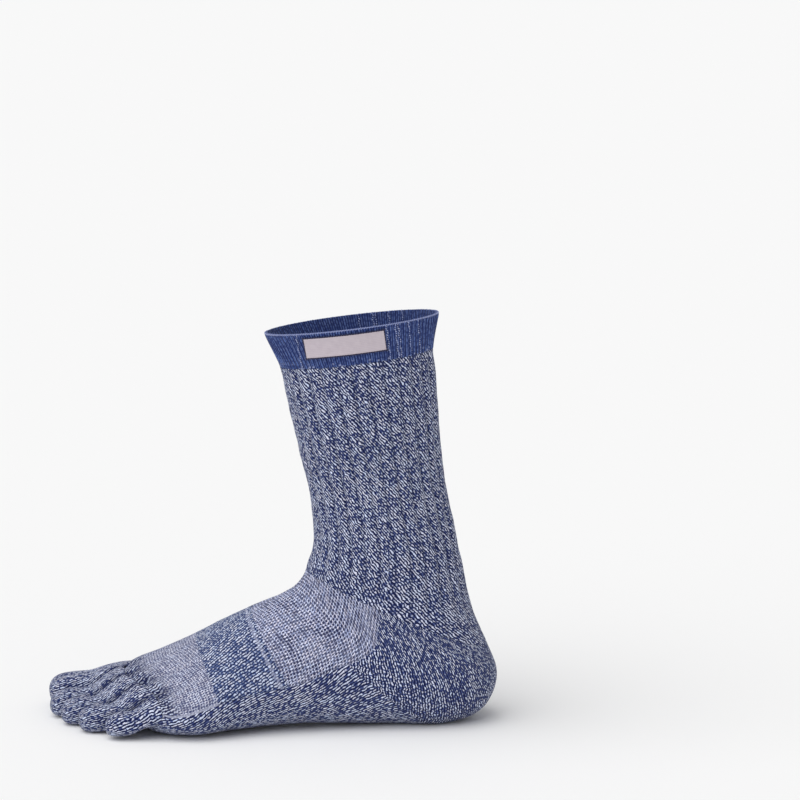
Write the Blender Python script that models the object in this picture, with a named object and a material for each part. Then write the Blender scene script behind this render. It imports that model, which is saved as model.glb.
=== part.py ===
"""A left toe sock in its worn shape, with five toe pockets and a ribbed cuff.

Metres, +Z up, toes towards -Y, little toe towards +X. The origin is on the
insole under the ankle, where the foot stands. The knitted wall is lofted
through cross-sections that run from the roots of the toes, round the heel and
up the leg, and it is parted where the knitting changes.
"""

import math

import bmesh
import bpy
import numpy as np

# Foot
FOOT_LENGTH = 0.255
BALL_WIDTH = 0.100
ANKLE_HEIGHT = 0.082
ARCH_HEIGHT = 0.014
HEEL_SETBACK = 0.062

# Leg and cuff
LEG_LENGTH = 0.109
LEG_LEAN = math.radians(8.6)
LEG_START = 0.2485
LEG_START_HEIGHT = 1.175
ANKLE_DEPTH = 0.0755
ANKLE_WIDTH = 0.064
RIM_DEPTH = 0.0962
RIM_WIDTH = 0.083
CUFF_HEIGHT = 0.0195
LEG_RIBS = 28
RIB_DEPTH = 0.0005

# Knitted walls
SOLE_WALL = 0.0030
INSTEP_WALL = 0.0020
LEG_WALL = 0.0022
CUFF_WALL = 0.0026
TOE_WALL = 0.0018
SEAM_GAP = 0.0003

# Woven label
LABEL_LENGTH = 0.0445
LABEL_HEIGHT = 0.0102
LABEL_THICKNESS = 0.0008
LABEL_DROP = 0.0034
LABEL_SHIFT = -0.0062

# Sections of the foot, from the roots of the toes to the heel.
# top_t, bottom_t: distance from the back of the heel, in foot lengths
# top_z, bottom_z: height above the floor, in ankle heights
# medial, lateral, crown: the two sides and the ridge, in ball widths
# waist, edge: height of the widest line and of the panel's edge, as shares
# round_top, round_sole: 1 is an ellipse and less is squarer
# slant: how far the section follows the line of the toe roots
# arch: how far the inner side of the sole is lifted
FOOT_COLUMNS = (
    "top_t", "top_z", "bottom_t", "bottom_z", "medial", "lateral", "crown",
    "waist", "edge", "round_top", "round_sole", "slant", "arch",
)
FOOT_SECTIONS = (
    (0.810, 0.325, 0.810, 0.045, -0.465, 0.455, -0.14, 0.42, 0.47, 0.82, 0.74, 1.00, 0.0),
    (0.785, 0.372, 0.765, -0.004, -0.480, 0.475, -0.15, 0.40, 0.45, 0.85, 0.72, 0.85, 0.0),
    (0.740, 0.434, 0.700, -0.016, -0.480, 0.490, -0.15, 0.39, 0.45, 0.88, 0.70, 0.60, 0.0),
    (0.695, 0.500, 0.635, -0.012, -0.455, 0.475, -0.14, 0.39, 0.45, 0.90, 0.70, 0.30, 0.3),
    (0.652, 0.577, 0.570, 0.000, -0.410, 0.440, -0.12, 0.40, 0.44, 0.92, 0.74, 0.10, 0.8),
    (0.606, 0.664, 0.500, 0.006, -0.365, 0.402, -0.10, 0.41, 0.43, 0.94, 0.80, 0.00, 1.0),
    (0.556, 0.744, 0.420, 0.006, -0.340, 0.370, -0.08, 0.42, 0.43, 0.95, 0.84, 0.00, 0.9),
    (0.515, 0.805, 0.330, -0.010, -0.332, 0.350, -0.06, 0.44, 0.47, 0.96, 0.90, 0.00, 0.5),
    (0.490, 0.843, 0.215, -0.022, -0.332, 0.338, -0.04, 0.45, 0.54, 0.97, 0.94, 0.00, 0.1),
    (0.470, 0.880, 0.115, -0.018, -0.334, 0.336, -0.02, 0.43, 0.57, 0.98, 0.92, 0.00, 0.0),
    (0.449, 0.924, 0.038, 0.085, -0.334, 0.334, -0.01, 0.41, 0.59, 0.98, 0.90, 0.00, 0.0),
    (0.433, 0.980, 0.008, 0.300, -0.333, 0.333, -0.01, 0.41, 0.62, 0.98, 0.90, 0.00, 0.0),
    (0.424, 1.043, 0.029, 0.520, -0.328, 0.328, 0.00, 0.44, 0.60, 0.98, 0.92, 0.00, 0.0),
    (0.418, 1.115, 0.067, 0.780, -0.323, 0.323, 0.00, 0.48, 0.53, 0.98, 0.96, 0.00, 0.0),
)

# Sections of the leg, from the ankle to the rim.
# rise: distance up the leg, in leg lengths
# flare: 0 is the ankle's size and 1 is the rim's
# tilt: how far the section leans with the leg
# cant: how far the inner side drops, as a share of the width
LEG_COLUMNS = ("rise", "flare", "tilt", "cant")
LEG_SECTIONS = (
    (0.020, 0.18, 0.30, 0.000),
    (0.180, -0.02, 0.80, 0.000),
    (0.400, -0.05, 1.00, 0.000),
    (0.640, 0.15, 1.00, 0.000),
    (0.860, 0.30, 0.90, 0.012),
    (1.000, 0.42, 0.82, 0.024),
    (1.000 + CUFF_HEIGHT / LEG_LENGTH, 1.00, 0.78, 0.036),
)

# Places in the run of sections where the knitting changes, and where the
# leg is clear of the ankle's bend
SOLE_END = 8.6
PANEL_END = 12.0
BEND_END = 15.0
CUFF_START = len(FOOT_SECTIONS) + len(LEG_SECTIONS) - 2.0
RIM = CUFF_START + 1.0

# Toes, from the big toe to the little toe.
# tip: distance of the tip from the back of the heel, in foot lengths
# tip_x: middle of the pad, in ball widths
# girth: half the width of the pad, in ball widths
# height, lift: top and underside of the pad, in ankle heights
TOE_COLUMNS = ("node", "tip", "tip_x", "girth", "height", "lift")
TOES = (
    ("toe_big", 0.996, -0.350, 0.138, 0.240, 0.010),
    ("toe_second", 0.988, -0.118, 0.086, 0.196, 0.000),
    ("toe_third", 0.959, 0.057, 0.083, 0.186, 0.000),
    ("toe_fourth", 0.917, 0.222, 0.078, 0.182, 0.000),
    ("toe_little", 0.857, 0.378, 0.073, 0.180, 0.020),
)
# Where the toes part: across in ball widths, then the distance from the back
# of the heel over and under the toes, in foot lengths
TOE_ROOTS = (
    (-0.465, 0.800, 0.802),
    (-0.190, 0.826, 0.832),
    (-0.012, 0.818, 0.834),
    (0.156, 0.782, 0.816),
    (0.310, 0.742, 0.778),
    (0.455, 0.722, 0.742),
)
ROOT_MIDDLE = 0.810

# Shape along a toe: share of its length, width as a share of the girth,
# and top and underside as shares of the pad's height
TOE_PROFILE = (
    (0.00, 0.98, 1.30, 0.22),
    (0.25, 0.97, 1.12, 0.16),
    (0.50, 0.99, 1.02, 0.05),
    (0.72, 1.00, 0.99, 0.00),
    (0.85, 0.90, 0.92, 0.02),
    (0.94, 0.68, 0.79, 0.10),
    (0.985, 0.37, 0.63, 0.24),
    (1.00, 0.00, 0.43, 0.43),
)

# Roundings: the ridge of the foot falls off with the first power, the arch
# with the second, and the toes are a little squarer than an ellipse
CROWN_POWER = 1.5
ARCH_POWER = 3
ARCH_SIDE = 0.35
ARCH_SLOPE = 1.9
TOE_SQUARENESS = 0.86
TOE_BEND = 1.2
TOE_BLEND = 0.55
RIB_FADE = 2.0
SHARP_EDGE = math.radians(45)

# Divisions of the surfaces
PANEL_STEPS = 20
SOLE_STEPS = 22
TOE_STEPS = 20
DENSE_STEPS = 240
CELL_STEPS = 40
LABEL_STEPS = 8
CUFF_ROWS = 4
ANKLE_ROWS = 7
LEG_ROWS = 4
PANEL_ROWS = 19
SOLE_ROWS = 14
HEEL_ROWS = 8
NEARBY = 0.02


def smooth(t):
    """Eases from 0 to 1."""
    t = np.clip(t, 0.0, 1.0)
    return t * t * (3 - 2 * t)


def unit(vectors):
    """Vectors of length 1."""
    return vectors / np.linalg.norm(vectors, axis=-1, keepdims=True)


def between(rows, place):
    """A smooth curve through evenly numbered rows."""
    place = min(max(place, 0.0), len(rows) - 1.0)
    index = min(int(place), len(rows) - 2)
    t = place - index
    before = rows[max(index - 1, 0)]
    start = rows[index]
    end = rows[index + 1]
    after = rows[min(index + 2, len(rows) - 1)]
    bend = 2 * before - 5 * start + 4 * end - after
    twist = 3 * start - before - 3 * end + after
    return start + 0.5 * t * (end - before + t * (bend + t * twist))


def section_rows():
    """Every section as one row of metres: front, back, sides and roundness."""
    rows = []
    for values in FOOT_SECTIONS:
        row = dict(zip(FOOT_COLUMNS, values))
        rows.append((
            HEEL_SETBACK - row["top_t"] * FOOT_LENGTH,
            row["top_z"] * ANKLE_HEIGHT,
            HEEL_SETBACK - row["bottom_t"] * FOOT_LENGTH,
            row["bottom_z"] * ANKLE_HEIGHT,
            row["medial"] * BALL_WIDTH,
            row["lateral"] * BALL_WIDTH,
            row["crown"] * BALL_WIDTH,
            row["waist"],
            row["edge"],
            row["round_top"],
            row["round_sole"],
            row["slant"],
            row["arch"],
            0.0,
        ))
    for values in LEG_SECTIONS:
        row = dict(zip(LEG_COLUMNS, values))
        along = row["rise"] * LEG_LENGTH
        middle_y = HEEL_SETBACK - LEG_START * FOOT_LENGTH - along * math.sin(LEG_LEAN)
        middle_z = LEG_START_HEIGHT * ANKLE_HEIGHT + along * math.cos(LEG_LEAN)
        depth = (ANKLE_DEPTH + row["flare"] * (RIM_DEPTH - ANKLE_DEPTH)) / 2
        width = (ANKLE_WIDTH + row["flare"] * (RIM_WIDTH - ANKLE_WIDTH)) / 2
        ahead = depth * math.cos(row["tilt"] * LEG_LEAN)
        down = depth * math.sin(row["tilt"] * LEG_LEAN)
        rows.append((
            middle_y - ahead, middle_z - down, middle_y + ahead, middle_z + down,
            -width, width, 0.0, 0.5, 0.5, 1.0, 1.0, 0.0, 0.0, row["cant"],
        ))
    return np.array(rows)


ROWS = section_rows()


def root_line(x, share):
    """Distance of the toe roots from the heel, at a share of the height."""
    across, over, under = np.array(TOE_ROOTS).T
    above = np.interp(x, across * BALL_WIDTH, over * FOOT_LENGTH)
    below = np.interp(x, across * BALL_WIDTH, under * FOOT_LENGTH)
    return share * above + (1 - share) * below


def dense_section(place):
    """Closely spaced points round a section, from the edge over the top."""
    (top_y, top_z, bottom_y, bottom_z, medial, lateral, crown, waist, edge,
     round_top, round_sole, slant, arch, cant) = between(ROWS, place)
    if edge < waist:
        edge_sine = -((waist - edge) / waist) ** (1 / round_sole)
    else:
        edge_sine = ((edge - waist) / (1 - waist)) ** (1 / round_top)
    start = math.asin(edge_sine)
    over = np.linspace(start, math.pi - start, DENSE_STEPS)
    under = np.linspace(math.pi - start, 2 * math.pi + start, DENSE_STEPS)
    angle = np.concatenate((over, under[1:]))
    sine = np.sin(angle)
    cosine = np.cos(angle)
    shape = np.where(sine > 0, round_top, round_sole)
    rise = np.sign(sine) * np.abs(sine) ** shape
    share = np.where(sine > 0, waist + (1 - waist) * rise, waist + waist * rise)
    middle = (medial + lateral) / 2
    ridge = (crown - middle) * np.clip(rise, 0, 1) ** CROWN_POWER
    x = middle + ridge + (lateral - medial) / 2 * np.sign(cosine) * np.abs(cosine) ** shape
    y = bottom_y + share * (top_y - bottom_y)
    y = y - slant * (root_line(x, share) - ROOT_MIDDLE * FOOT_LENGTH)
    z = bottom_z + share * (top_z - bottom_z)
    inner_side = smooth(ARCH_SIDE - x / BALL_WIDTH * ARCH_SLOPE)
    z = z + arch * ARCH_HEIGHT * inner_side * (1 - share) ** ARCH_POWER + cant * x
    return np.stack((x, y, np.maximum(z, 0.0)), axis=1)


def spaced(points, steps):
    """The same line with evenly spaced points."""
    lengths = np.linalg.norm(np.diff(points, axis=0), axis=1)
    travelled = np.concatenate(((0.0,), np.cumsum(lengths)))
    stops = np.linspace(0.0, travelled[-1], steps + 1)
    return np.stack([np.interp(stops, travelled, axis) for axis in points.T], axis=1)


def section(place, over_steps, under_steps):
    """A closed ring of points: the panel's share first, then the sole's."""
    points = dense_section(place)
    over = spaced(points[:DENSE_STEPS], over_steps)
    under = spaced(points[DENSE_STEPS - 1:], under_steps)
    return np.concatenate((over[:-1], under[:-1]))


def surface(places, over_steps=PANEL_STEPS, under_steps=SOLE_STEPS):
    """Rings of points and their outward normals."""
    rings = []
    normals = []
    for place in places:
        ring = section(place, over_steps, under_steps)
        ahead = section(place + NEARBY, over_steps, under_steps)
        behind = section(place - NEARBY, over_steps, under_steps)
        around = np.roll(ring, -1, axis=0) - np.roll(ring, 1, axis=0)
        rings.append(ring)
        normals.append(unit(np.cross(around, ahead - behind)))
    rings = np.array(rings)
    normals = np.array(normals)
    spread = np.sum((rings - rings.mean(axis=1, keepdims=True)) * normals)
    return rings, normals * math.copysign(1.0, spread)


def trimmed(grids, axis, ends=((0, 1), (-1, -2))):
    """Draws the ends of matching grids back by half a seam gap."""
    outer = np.moveaxis(grids[0], axis, 0)
    shifts = []
    for end, beside in ends:
        shifts.append((end, unit(outer[beside] - outer[end]) * SEAM_GAP / 2))
    for grid in grids:
        view = np.moveaxis(grid, axis, 0)
        for end, shift in shifts:
            view[end] += shift
    return grids


def add_object(name, vertices, faces, colour, roughness=0.9):
    """One named solid with its own material."""
    mesh = bpy.data.meshes.new(name)
    vertices = np.array(vertices) - (0.0, 0.0, SOLE_WALL)
    mesh.from_pydata(vertices.tolist(), [], faces)
    solid = bmesh.new()
    solid.from_mesh(mesh)
    bmesh.ops.recalc_face_normals(solid, faces=solid.faces)
    solid.to_mesh(mesh)
    solid.free()
    mesh.update()
    for polygon in mesh.polygons:
        polygon.use_smooth = True
    mesh.set_sharp_from_angle(angle=SHARP_EDGE)
    material = bpy.data.materials.new(name)
    material.use_nodes = True
    shader = material.node_tree.nodes["Principled BSDF"]
    shader.inputs["Base Color"].default_value = (*colour, 1.0)
    shader.inputs["Roughness"].default_value = roughness
    mesh.materials.append(material)
    result = bpy.data.objects.new(name, mesh)
    bpy.data.collections["toe_sock"].objects.link(result)
    return result


def skin(vertex, rows, columns, closed):
    """Faces over a grid of numbered points."""
    faces = []
    for row in range(rows - 1):
        for column in range(columns if closed else columns - 1):
            beside = (column + 1) % columns
            faces.append((
                vertex(row, column),
                vertex(row, beside),
                vertex(row + 1, beside),
                vertex(row + 1, column),
            ))
    return faces


def wall(name, outer, inner, closed, colour):
    """A solid wall between two grids of points."""
    rows, columns = outer.shape[:2]

    def outside(row, column):
        return row * columns + column

    def inside(row, column):
        return (rows + row) * columns + column

    faces = skin(outside, rows, columns, closed)
    faces += skin(inside, rows, columns, closed)
    for row in (0, rows - 1):
        def rim(level, column, row=row):
            return inside(row, column) if level else outside(row, column)
        faces += skin(rim, 2, columns, closed)
    if not closed:
        for column in (0, columns - 1):
            def side(level, row, column=column):
                return inside(row, column) if level else outside(row, column)
            faces += skin(side, 2, rows, False)
    vertices = np.concatenate((outer.reshape(-1, 3), inner.reshape(-1, 3)))
    return add_object(name, vertices, faces, colour)


def patch(name, places, first, last, thickness, colour):
    """A wall over a share of the rings."""
    rings, normals = surface(places)
    columns = [index % (PANEL_STEPS + SOLE_STEPS) for index in range(first, last + 1)]
    outer = rings[:, columns].copy()
    inner = outer - normals[:, columns] * thickness
    trimmed((outer, inner), 0)
    trimmed((outer, inner), 1)
    return wall(name, outer, inner, False, colour)


def tube(name, places, thickness, rib_depth, colour):
    """A wall right round the rings, with ribs that run along it."""
    rings, normals = surface(places, LEG_RIBS, LEG_RIBS)
    fade = smooth((np.array(places) - PANEL_END) / RIB_FADE)[:, None, None]
    ridge = np.where(np.arange(2 * LEG_RIBS) % 2 == 0, 0.5, -0.5)[None, :, None]
    outer = rings + normals * ridge * rib_depth * fade
    inner = rings - normals * thickness
    trimmed((outer, inner), 0)
    return wall(name, outer, inner, True, colour)


def cell_outline(low, high, inset):
    """Outline of one toe's share of the front of the foot, across and up."""
    ring = dense_section(0.0)[:-1][:, (0, 2)]
    around = np.roll(ring, -1, axis=0) - np.roll(ring, 1, axis=0)
    inward = unit(np.stack((-around[:, 1], around[:, 0]), axis=1))
    inward *= math.copysign(1.0, np.sum(inward * (ring.mean(axis=0) - ring)))
    ring = ring + inward * inset
    kept = ring[(ring[:, 0] > low) & (ring[:, 0] < high)]
    centre_z = ring[:, 1].mean()
    parts = [kept]
    for x in (low, high):
        if ring[:, 0].min() < x < ring[:, 0].max():
            crossing = []
            for half in (ring[ring[:, 1] > centre_z], ring[ring[:, 1] <= centre_z]):
                order = np.argsort(half[:, 0])
                crossing.append(np.interp(x, half[order, 0], half[order, 1]))
            heights = np.linspace(crossing[0], crossing[1], CELL_STEPS)
            parts.append(np.stack((np.full(CELL_STEPS, x), heights), axis=1))
    return np.concatenate(parts)


def toe_grid(index, inset, angles, shares):
    """Points of a toe's outer surface, or of its lining when inset."""
    row = dict(zip(TOE_COLUMNS, TOES[index]))
    low, high = (TOE_ROOTS[index + side][0] * BALL_WIDTH for side in (0, 1))
    edge = SEAM_GAP / 2 + inset
    is_first = index == 0
    is_last = index == len(TOES) - 1
    outline = cell_outline(
        -BALL_WIDTH if is_first else low + edge,
        BALL_WIDTH if is_last else high - edge,
        inset,
    )
    centre = np.array(((low + high) / 2, dense_section(0.0)[:, 2].mean()))
    polar = np.arctan2(outline[:, 1] - centre[1], outline[:, 0] - centre[0])
    radius = np.linalg.norm(outline - centre, axis=1)
    order = np.argsort(polar)
    reach = np.interp(angles, polar[order], radius[order], period=2 * math.pi)
    root_x = centre[0] + reach * np.cos(angles)
    root_z = centre[1] + reach * np.sin(angles)
    top_z, bottom_z = ROWS[0, 1], ROWS[0, 3]
    root_y = HEEL_SETBACK - root_line(root_x, (root_z - bottom_z) / (top_z - bottom_z))
    root_y -= SEAM_GAP / 2
    tip_y = HEEL_SETBACK - row["tip"] * FOOT_LENGTH + inset
    tip_x = row["tip_x"] * BALL_WIDTH
    share_column, width_column, top_column, under_column = np.array(TOE_PROFILE).T
    rows = []
    for share in shares:
        width = np.interp(share, share_column, width_column)
        top = np.interp(share, share_column, top_column)
        under = np.interp(share, share_column, under_column)
        closing = 1.0 if width > 0 else 0.0
        half = max(width * row["girth"] * BALL_WIDTH - inset, 0.0) * closing
        lift = row["lift"] * ANKLE_HEIGHT
        tall = row["height"] * ANKLE_HEIGHT - lift
        high_z = lift + top * tall - inset * min(1.0, 3 * width)
        low_z = lift + under * tall + inset * min(1.0, 3 * width)
        bend = smooth(share * TOE_BEND)
        middle = tip_x * bend + centre[0] * (1 - bend)
        cosine = np.cos(angles)
        sine = np.sin(angles)
        x = middle + half * np.sign(cosine) * np.abs(cosine) ** TOE_SQUARENESS
        rise = np.sign(sine) * np.abs(sine) ** TOE_SQUARENESS
        z = (high_z + low_z) / 2 + (high_z - low_z) / 2 * rise
        blend = smooth(share / TOE_BLEND)
        x = (1 - blend) * (root_x + middle - centre[0]) + blend * x
        z = (1 - blend) * root_z + blend * z
        y = (1 - share) * root_y + share * tip_y
        rows.append(np.stack((x, y, z), axis=1))
    return np.array(rows)


def toe(index, colour):
    """A hollow toe pocket with a closed tip."""
    angles = np.arange(TOE_STEPS) * 2 * math.pi / TOE_STEPS - math.pi
    shares = [row[0] for row in TOE_PROFILE[:-1]]
    shares.insert(1, 0.12)
    shares.insert(3, 0.38)
    outer = toe_grid(index, 0.0, angles, shares)
    inner = toe_grid(index, TOE_WALL, angles, shares)
    tip_outer = toe_grid(index, 0.0, angles, (1.0,))[0].mean(axis=0)
    tip_inner = toe_grid(index, TOE_WALL, angles, (1.0,))[0].mean(axis=0)
    count = len(shares) * TOE_STEPS
    last = len(shares) - 1

    def outside(row, column):
        return row * TOE_STEPS + column

    def inside(row, column):
        return count + row * TOE_STEPS + column

    def rim(level, column):
        return inside(0, column) if level else outside(0, column)

    faces = skin(outside, len(shares), TOE_STEPS, True)
    faces += skin(inside, len(shares), TOE_STEPS, True)
    faces += skin(rim, 2, TOE_STEPS, True)
    for column in range(TOE_STEPS):
        beside = (column + 1) % TOE_STEPS
        faces.append((outside(last, column), outside(last, beside), 2 * count))
        faces.append((inside(last, column), inside(last, beside), 2 * count + 1))
    vertices = np.concatenate((
        outer.reshape(-1, 3), inner.reshape(-1, 3), tip_outer[None], tip_inner[None],
    ))
    return add_object(TOES[index][0], vertices, faces, colour)


def label(colour):
    """A flat woven label that lies on the outer side of the cuff."""
    grids = []
    offsets = np.linspace(-0.5, 0.5, LABEL_STEPS + 1) * LABEL_LENGTH + LABEL_SHIFT
    for drop in (LABEL_DROP + LABEL_HEIGHT, LABEL_DROP):
        place = RIM - drop / CUFF_HEIGHT
        ring = dense_section(place)
        above = dense_section(place + NEARBY)
        below = dense_section(place - NEARBY)
        travelled = np.concatenate((
            (0.0,), np.cumsum(np.linalg.norm(np.diff(ring, axis=0), axis=1)),
        ))
        total = travelled[-1]
        ridge = travelled[np.argmax(ring[:, 0])]
        around = np.roll(ring, -1, axis=0) - np.roll(ring, 1, axis=0)
        normal = unit(np.cross(around, above - below))
        normal *= math.copysign(1.0, np.sum(normal[:, 0] * ring[:, 0]))
        stops = (ridge - offsets) % total
        picks = [np.interp(stops, travelled, axis) for axis in (*ring.T, *normal.T)]
        grids.append(np.stack(picks, axis=1))
    grid = np.array(grids)
    points = grid[:, :, :3]
    normals = unit(grid[:, :, 3:])
    outer = points + normals * (SEAM_GAP + LABEL_THICKNESS)
    inner = points + normals * SEAM_GAP
    return wall("label", outer, inner, False, colour)


def main():
    """Builds the sock."""
    for existing in list(bpy.data.objects):
        bpy.data.objects.remove(existing, do_unlink=True)
    collection = bpy.data.collections.new("toe_sock")
    bpy.context.scene.collection.children.link(collection)

    leg_colour = (0.20, 0.24, 0.44)
    terry_colour = (0.10, 0.14, 0.34)
    panel_colour = (0.36, 0.38, 0.58)
    cuff_colour = (0.038, 0.070, 0.262)
    label_colour = (0.52, 0.42, 0.46)
    ring = PANEL_STEPS + SOLE_STEPS

    cuff_places = np.linspace(CUFF_START, RIM, CUFF_ROWS)
    tube("cuff", cuff_places, CUFF_WALL, 0.0, cuff_colour)
    ankle_places = np.linspace(PANEL_END, BEND_END, ANKLE_ROWS)
    leg_places = np.linspace(BEND_END + 1, CUFF_START, LEG_ROWS)
    leg_places = np.concatenate((ankle_places, leg_places))
    tube("leg", leg_places, LEG_WALL, RIB_DEPTH, leg_colour)
    panel_places = np.linspace(0.0, PANEL_END, PANEL_ROWS)
    patch("instep", panel_places, 0, PANEL_STEPS, INSTEP_WALL, panel_colour)
    sole_places = np.linspace(0.0, SOLE_END, SOLE_ROWS)
    patch("sole", sole_places, PANEL_STEPS, ring, SOLE_WALL, terry_colour)
    heel_places = np.linspace(SOLE_END, PANEL_END, HEEL_ROWS)
    patch("heel", heel_places, PANEL_STEPS, ring, SOLE_WALL, terry_colour)
    for index in range(len(TOES)):
        toe(index, terry_colour)
    label(label_colour)


main()
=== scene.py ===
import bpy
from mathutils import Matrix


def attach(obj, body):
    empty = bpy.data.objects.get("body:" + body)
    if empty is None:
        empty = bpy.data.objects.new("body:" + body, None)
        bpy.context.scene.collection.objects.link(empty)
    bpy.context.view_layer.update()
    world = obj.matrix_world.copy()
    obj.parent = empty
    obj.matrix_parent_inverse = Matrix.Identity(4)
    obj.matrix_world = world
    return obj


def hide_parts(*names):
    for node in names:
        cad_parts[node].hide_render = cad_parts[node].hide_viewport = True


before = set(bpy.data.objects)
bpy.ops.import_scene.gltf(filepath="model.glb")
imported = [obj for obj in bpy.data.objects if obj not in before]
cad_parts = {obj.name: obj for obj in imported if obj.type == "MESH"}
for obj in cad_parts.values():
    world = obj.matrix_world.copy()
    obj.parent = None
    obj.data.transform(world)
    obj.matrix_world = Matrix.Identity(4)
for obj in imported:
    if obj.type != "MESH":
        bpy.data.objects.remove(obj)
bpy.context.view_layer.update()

import math

import bmesh
import bpy
import numpy as np
from mathutils import Vector
from mathutils.kdtree import KDTree

print("frame loaded:", ", ".join(sorted(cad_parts)))

# the sock's own sizes in metres, as the CAD model has them
sock = {
    "footLength": 0.255, "ballWidth": 0.100, "ankleHeight": 0.082, "archHeight": 0.014,
    "heelSetback": 0.062, "legLength": 0.109, "legLean": math.radians(8.6),
    "legStart": 0.2485, "legStartHeight": 1.175, "ankleDepth": 0.0755, "ankleWidth": 0.064,
    "rimDepth": 0.0962, "rimWidth": 0.083, "cuffHeight": 0.0195, "underside": 0.0030,
    "seam": 0.00003,        # half the hairline between two zones
}

# places along the run of sections, from the toe roots to the rim
placeOf = {"roots": 0.0, "soleEnd": 8.6, "panelEnd": 12.0, "cuff": 19.0, "rim": 20.0}

# foot sections: top t, top z, bottom t, bottom z, inner side, outer side, ridge,
# waist, edge, roundness over and under, slant, arch
footSections = (
    (0.810, 0.325, 0.810, 0.045, -0.465, 0.455, -0.14, 0.42, 0.47, 0.82, 0.74, 1.00, 0.0),
    (0.785, 0.372, 0.765, -0.004, -0.480, 0.475, -0.15, 0.40, 0.45, 0.85, 0.72, 0.85, 0.0),
    (0.740, 0.434, 0.700, -0.016, -0.480, 0.490, -0.15, 0.39, 0.45, 0.88, 0.70, 0.60, 0.0),
    (0.695, 0.500, 0.635, -0.012, -0.455, 0.475, -0.14, 0.39, 0.45, 0.90, 0.70, 0.30, 0.3),
    (0.652, 0.577, 0.570, 0.000, -0.410, 0.440, -0.12, 0.40, 0.44, 0.92, 0.74, 0.10, 0.8),
    (0.606, 0.664, 0.500, 0.006, -0.365, 0.402, -0.10, 0.41, 0.43, 0.94, 0.80, 0.00, 1.0),
    (0.556, 0.744, 0.420, 0.006, -0.340, 0.370, -0.08, 0.42, 0.43, 0.95, 0.84, 0.00, 0.9),
    (0.515, 0.805, 0.330, -0.010, -0.332, 0.350, -0.06, 0.44, 0.47, 0.96, 0.90, 0.00, 0.5),
    (0.490, 0.843, 0.215, -0.022, -0.332, 0.338, -0.04, 0.45, 0.54, 0.97, 0.94, 0.00, 0.1),
    (0.470, 0.880, 0.115, -0.018, -0.334, 0.336, -0.02, 0.43, 0.57, 0.98, 0.92, 0.00, 0.0),
    (0.449, 0.924, 0.038, 0.085, -0.334, 0.334, -0.01, 0.41, 0.59, 0.98, 0.90, 0.00, 0.0),
    (0.433, 0.980, 0.008, 0.300, -0.333, 0.333, -0.01, 0.41, 0.62, 0.98, 0.90, 0.00, 0.0),
    (0.424, 1.043, 0.029, 0.520, -0.328, 0.328, 0.00, 0.44, 0.60, 0.98, 0.92, 0.00, 0.0),
    (0.418, 1.115, 0.067, 0.780, -0.323, 0.323, 0.00, 0.48, 0.53, 0.98, 0.96, 0.00, 0.0),
)
# leg sections: rise, flare, tilt, cant
legSections = (
    (0.020, 0.18, 0.30, 0.000),
    (0.180, -0.02, 0.80, 0.000),
    (0.400, -0.05, 1.00, 0.000),
    (0.640, 0.15, 1.00, 0.000),
    (0.860, 0.30, 0.90, 0.012),
    (1.000, 0.42, 0.82, 0.024),
    (1.000 + sock["cuffHeight"] / sock["legLength"], 1.00, 0.78, 0.036),
)
# toes: piece, tip, middle of the pad, half width, height, lift
toeSections = (
    ("toe_big", 0.996, -0.350, 0.138, 0.240, 0.010),
    ("toe_second", 0.988, -0.118, 0.086, 0.196, 0.000),
    ("toe_third", 0.959, 0.057, 0.083, 0.186, 0.000),
    ("toe_fourth", 0.917, 0.222, 0.078, 0.182, 0.000),
    ("toe_little", 0.857, 0.378, 0.073, 0.180, 0.020),
)
# where the toes part: across, then how far from the heel over and under them
toeRoots = np.array((
    (-0.465, 0.800, 0.802), (-0.190, 0.826, 0.832), (-0.012, 0.818, 0.834),
    (0.156, 0.782, 0.816), (0.310, 0.742, 0.778), (0.455, 0.722, 0.742),
))
rootMiddle = 0.810
# along a toe: share, width, top, underside; the last row leads the curve on past the tip
toeProfile = np.array((
    (0.00, 0.98, 1.30, 0.22), (0.25, 0.97, 1.12, 0.16), (0.50, 0.99, 1.02, 0.05),
    (0.72, 1.00, 0.99, 0.00), (0.85, 0.90, 0.92, 0.02), (0.94, 0.68, 0.79, 0.10),
    (0.985, 0.37, 0.63, 0.24), (1.00, 0.00, 0.43, 0.43), (0.985, -0.37, 0.23, 0.62),
))


def eased(t):
    t = np.clip(t, 0.0, 1.0)
    return t * t * (3 - 2 * t)


def unit(vectors):
    return vectors / np.maximum(np.linalg.norm(vectors, axis=-1, keepdims=True), 1e-12)


def between(rows, place):
    place = min(max(place, 0.0), len(rows) - 1.0)
    index = min(int(place), len(rows) - 2)
    t = place - index
    before, start, end = rows[max(index - 1, 0)], rows[index], rows[index + 1]
    after = rows[min(index + 2, len(rows) - 1)]
    bend = 2 * before - 5 * start + 4 * end - after
    twist = 3 * start - before - 3 * end + after
    return start + 0.5 * t * (end - before + t * (bend + t * twist))


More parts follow.
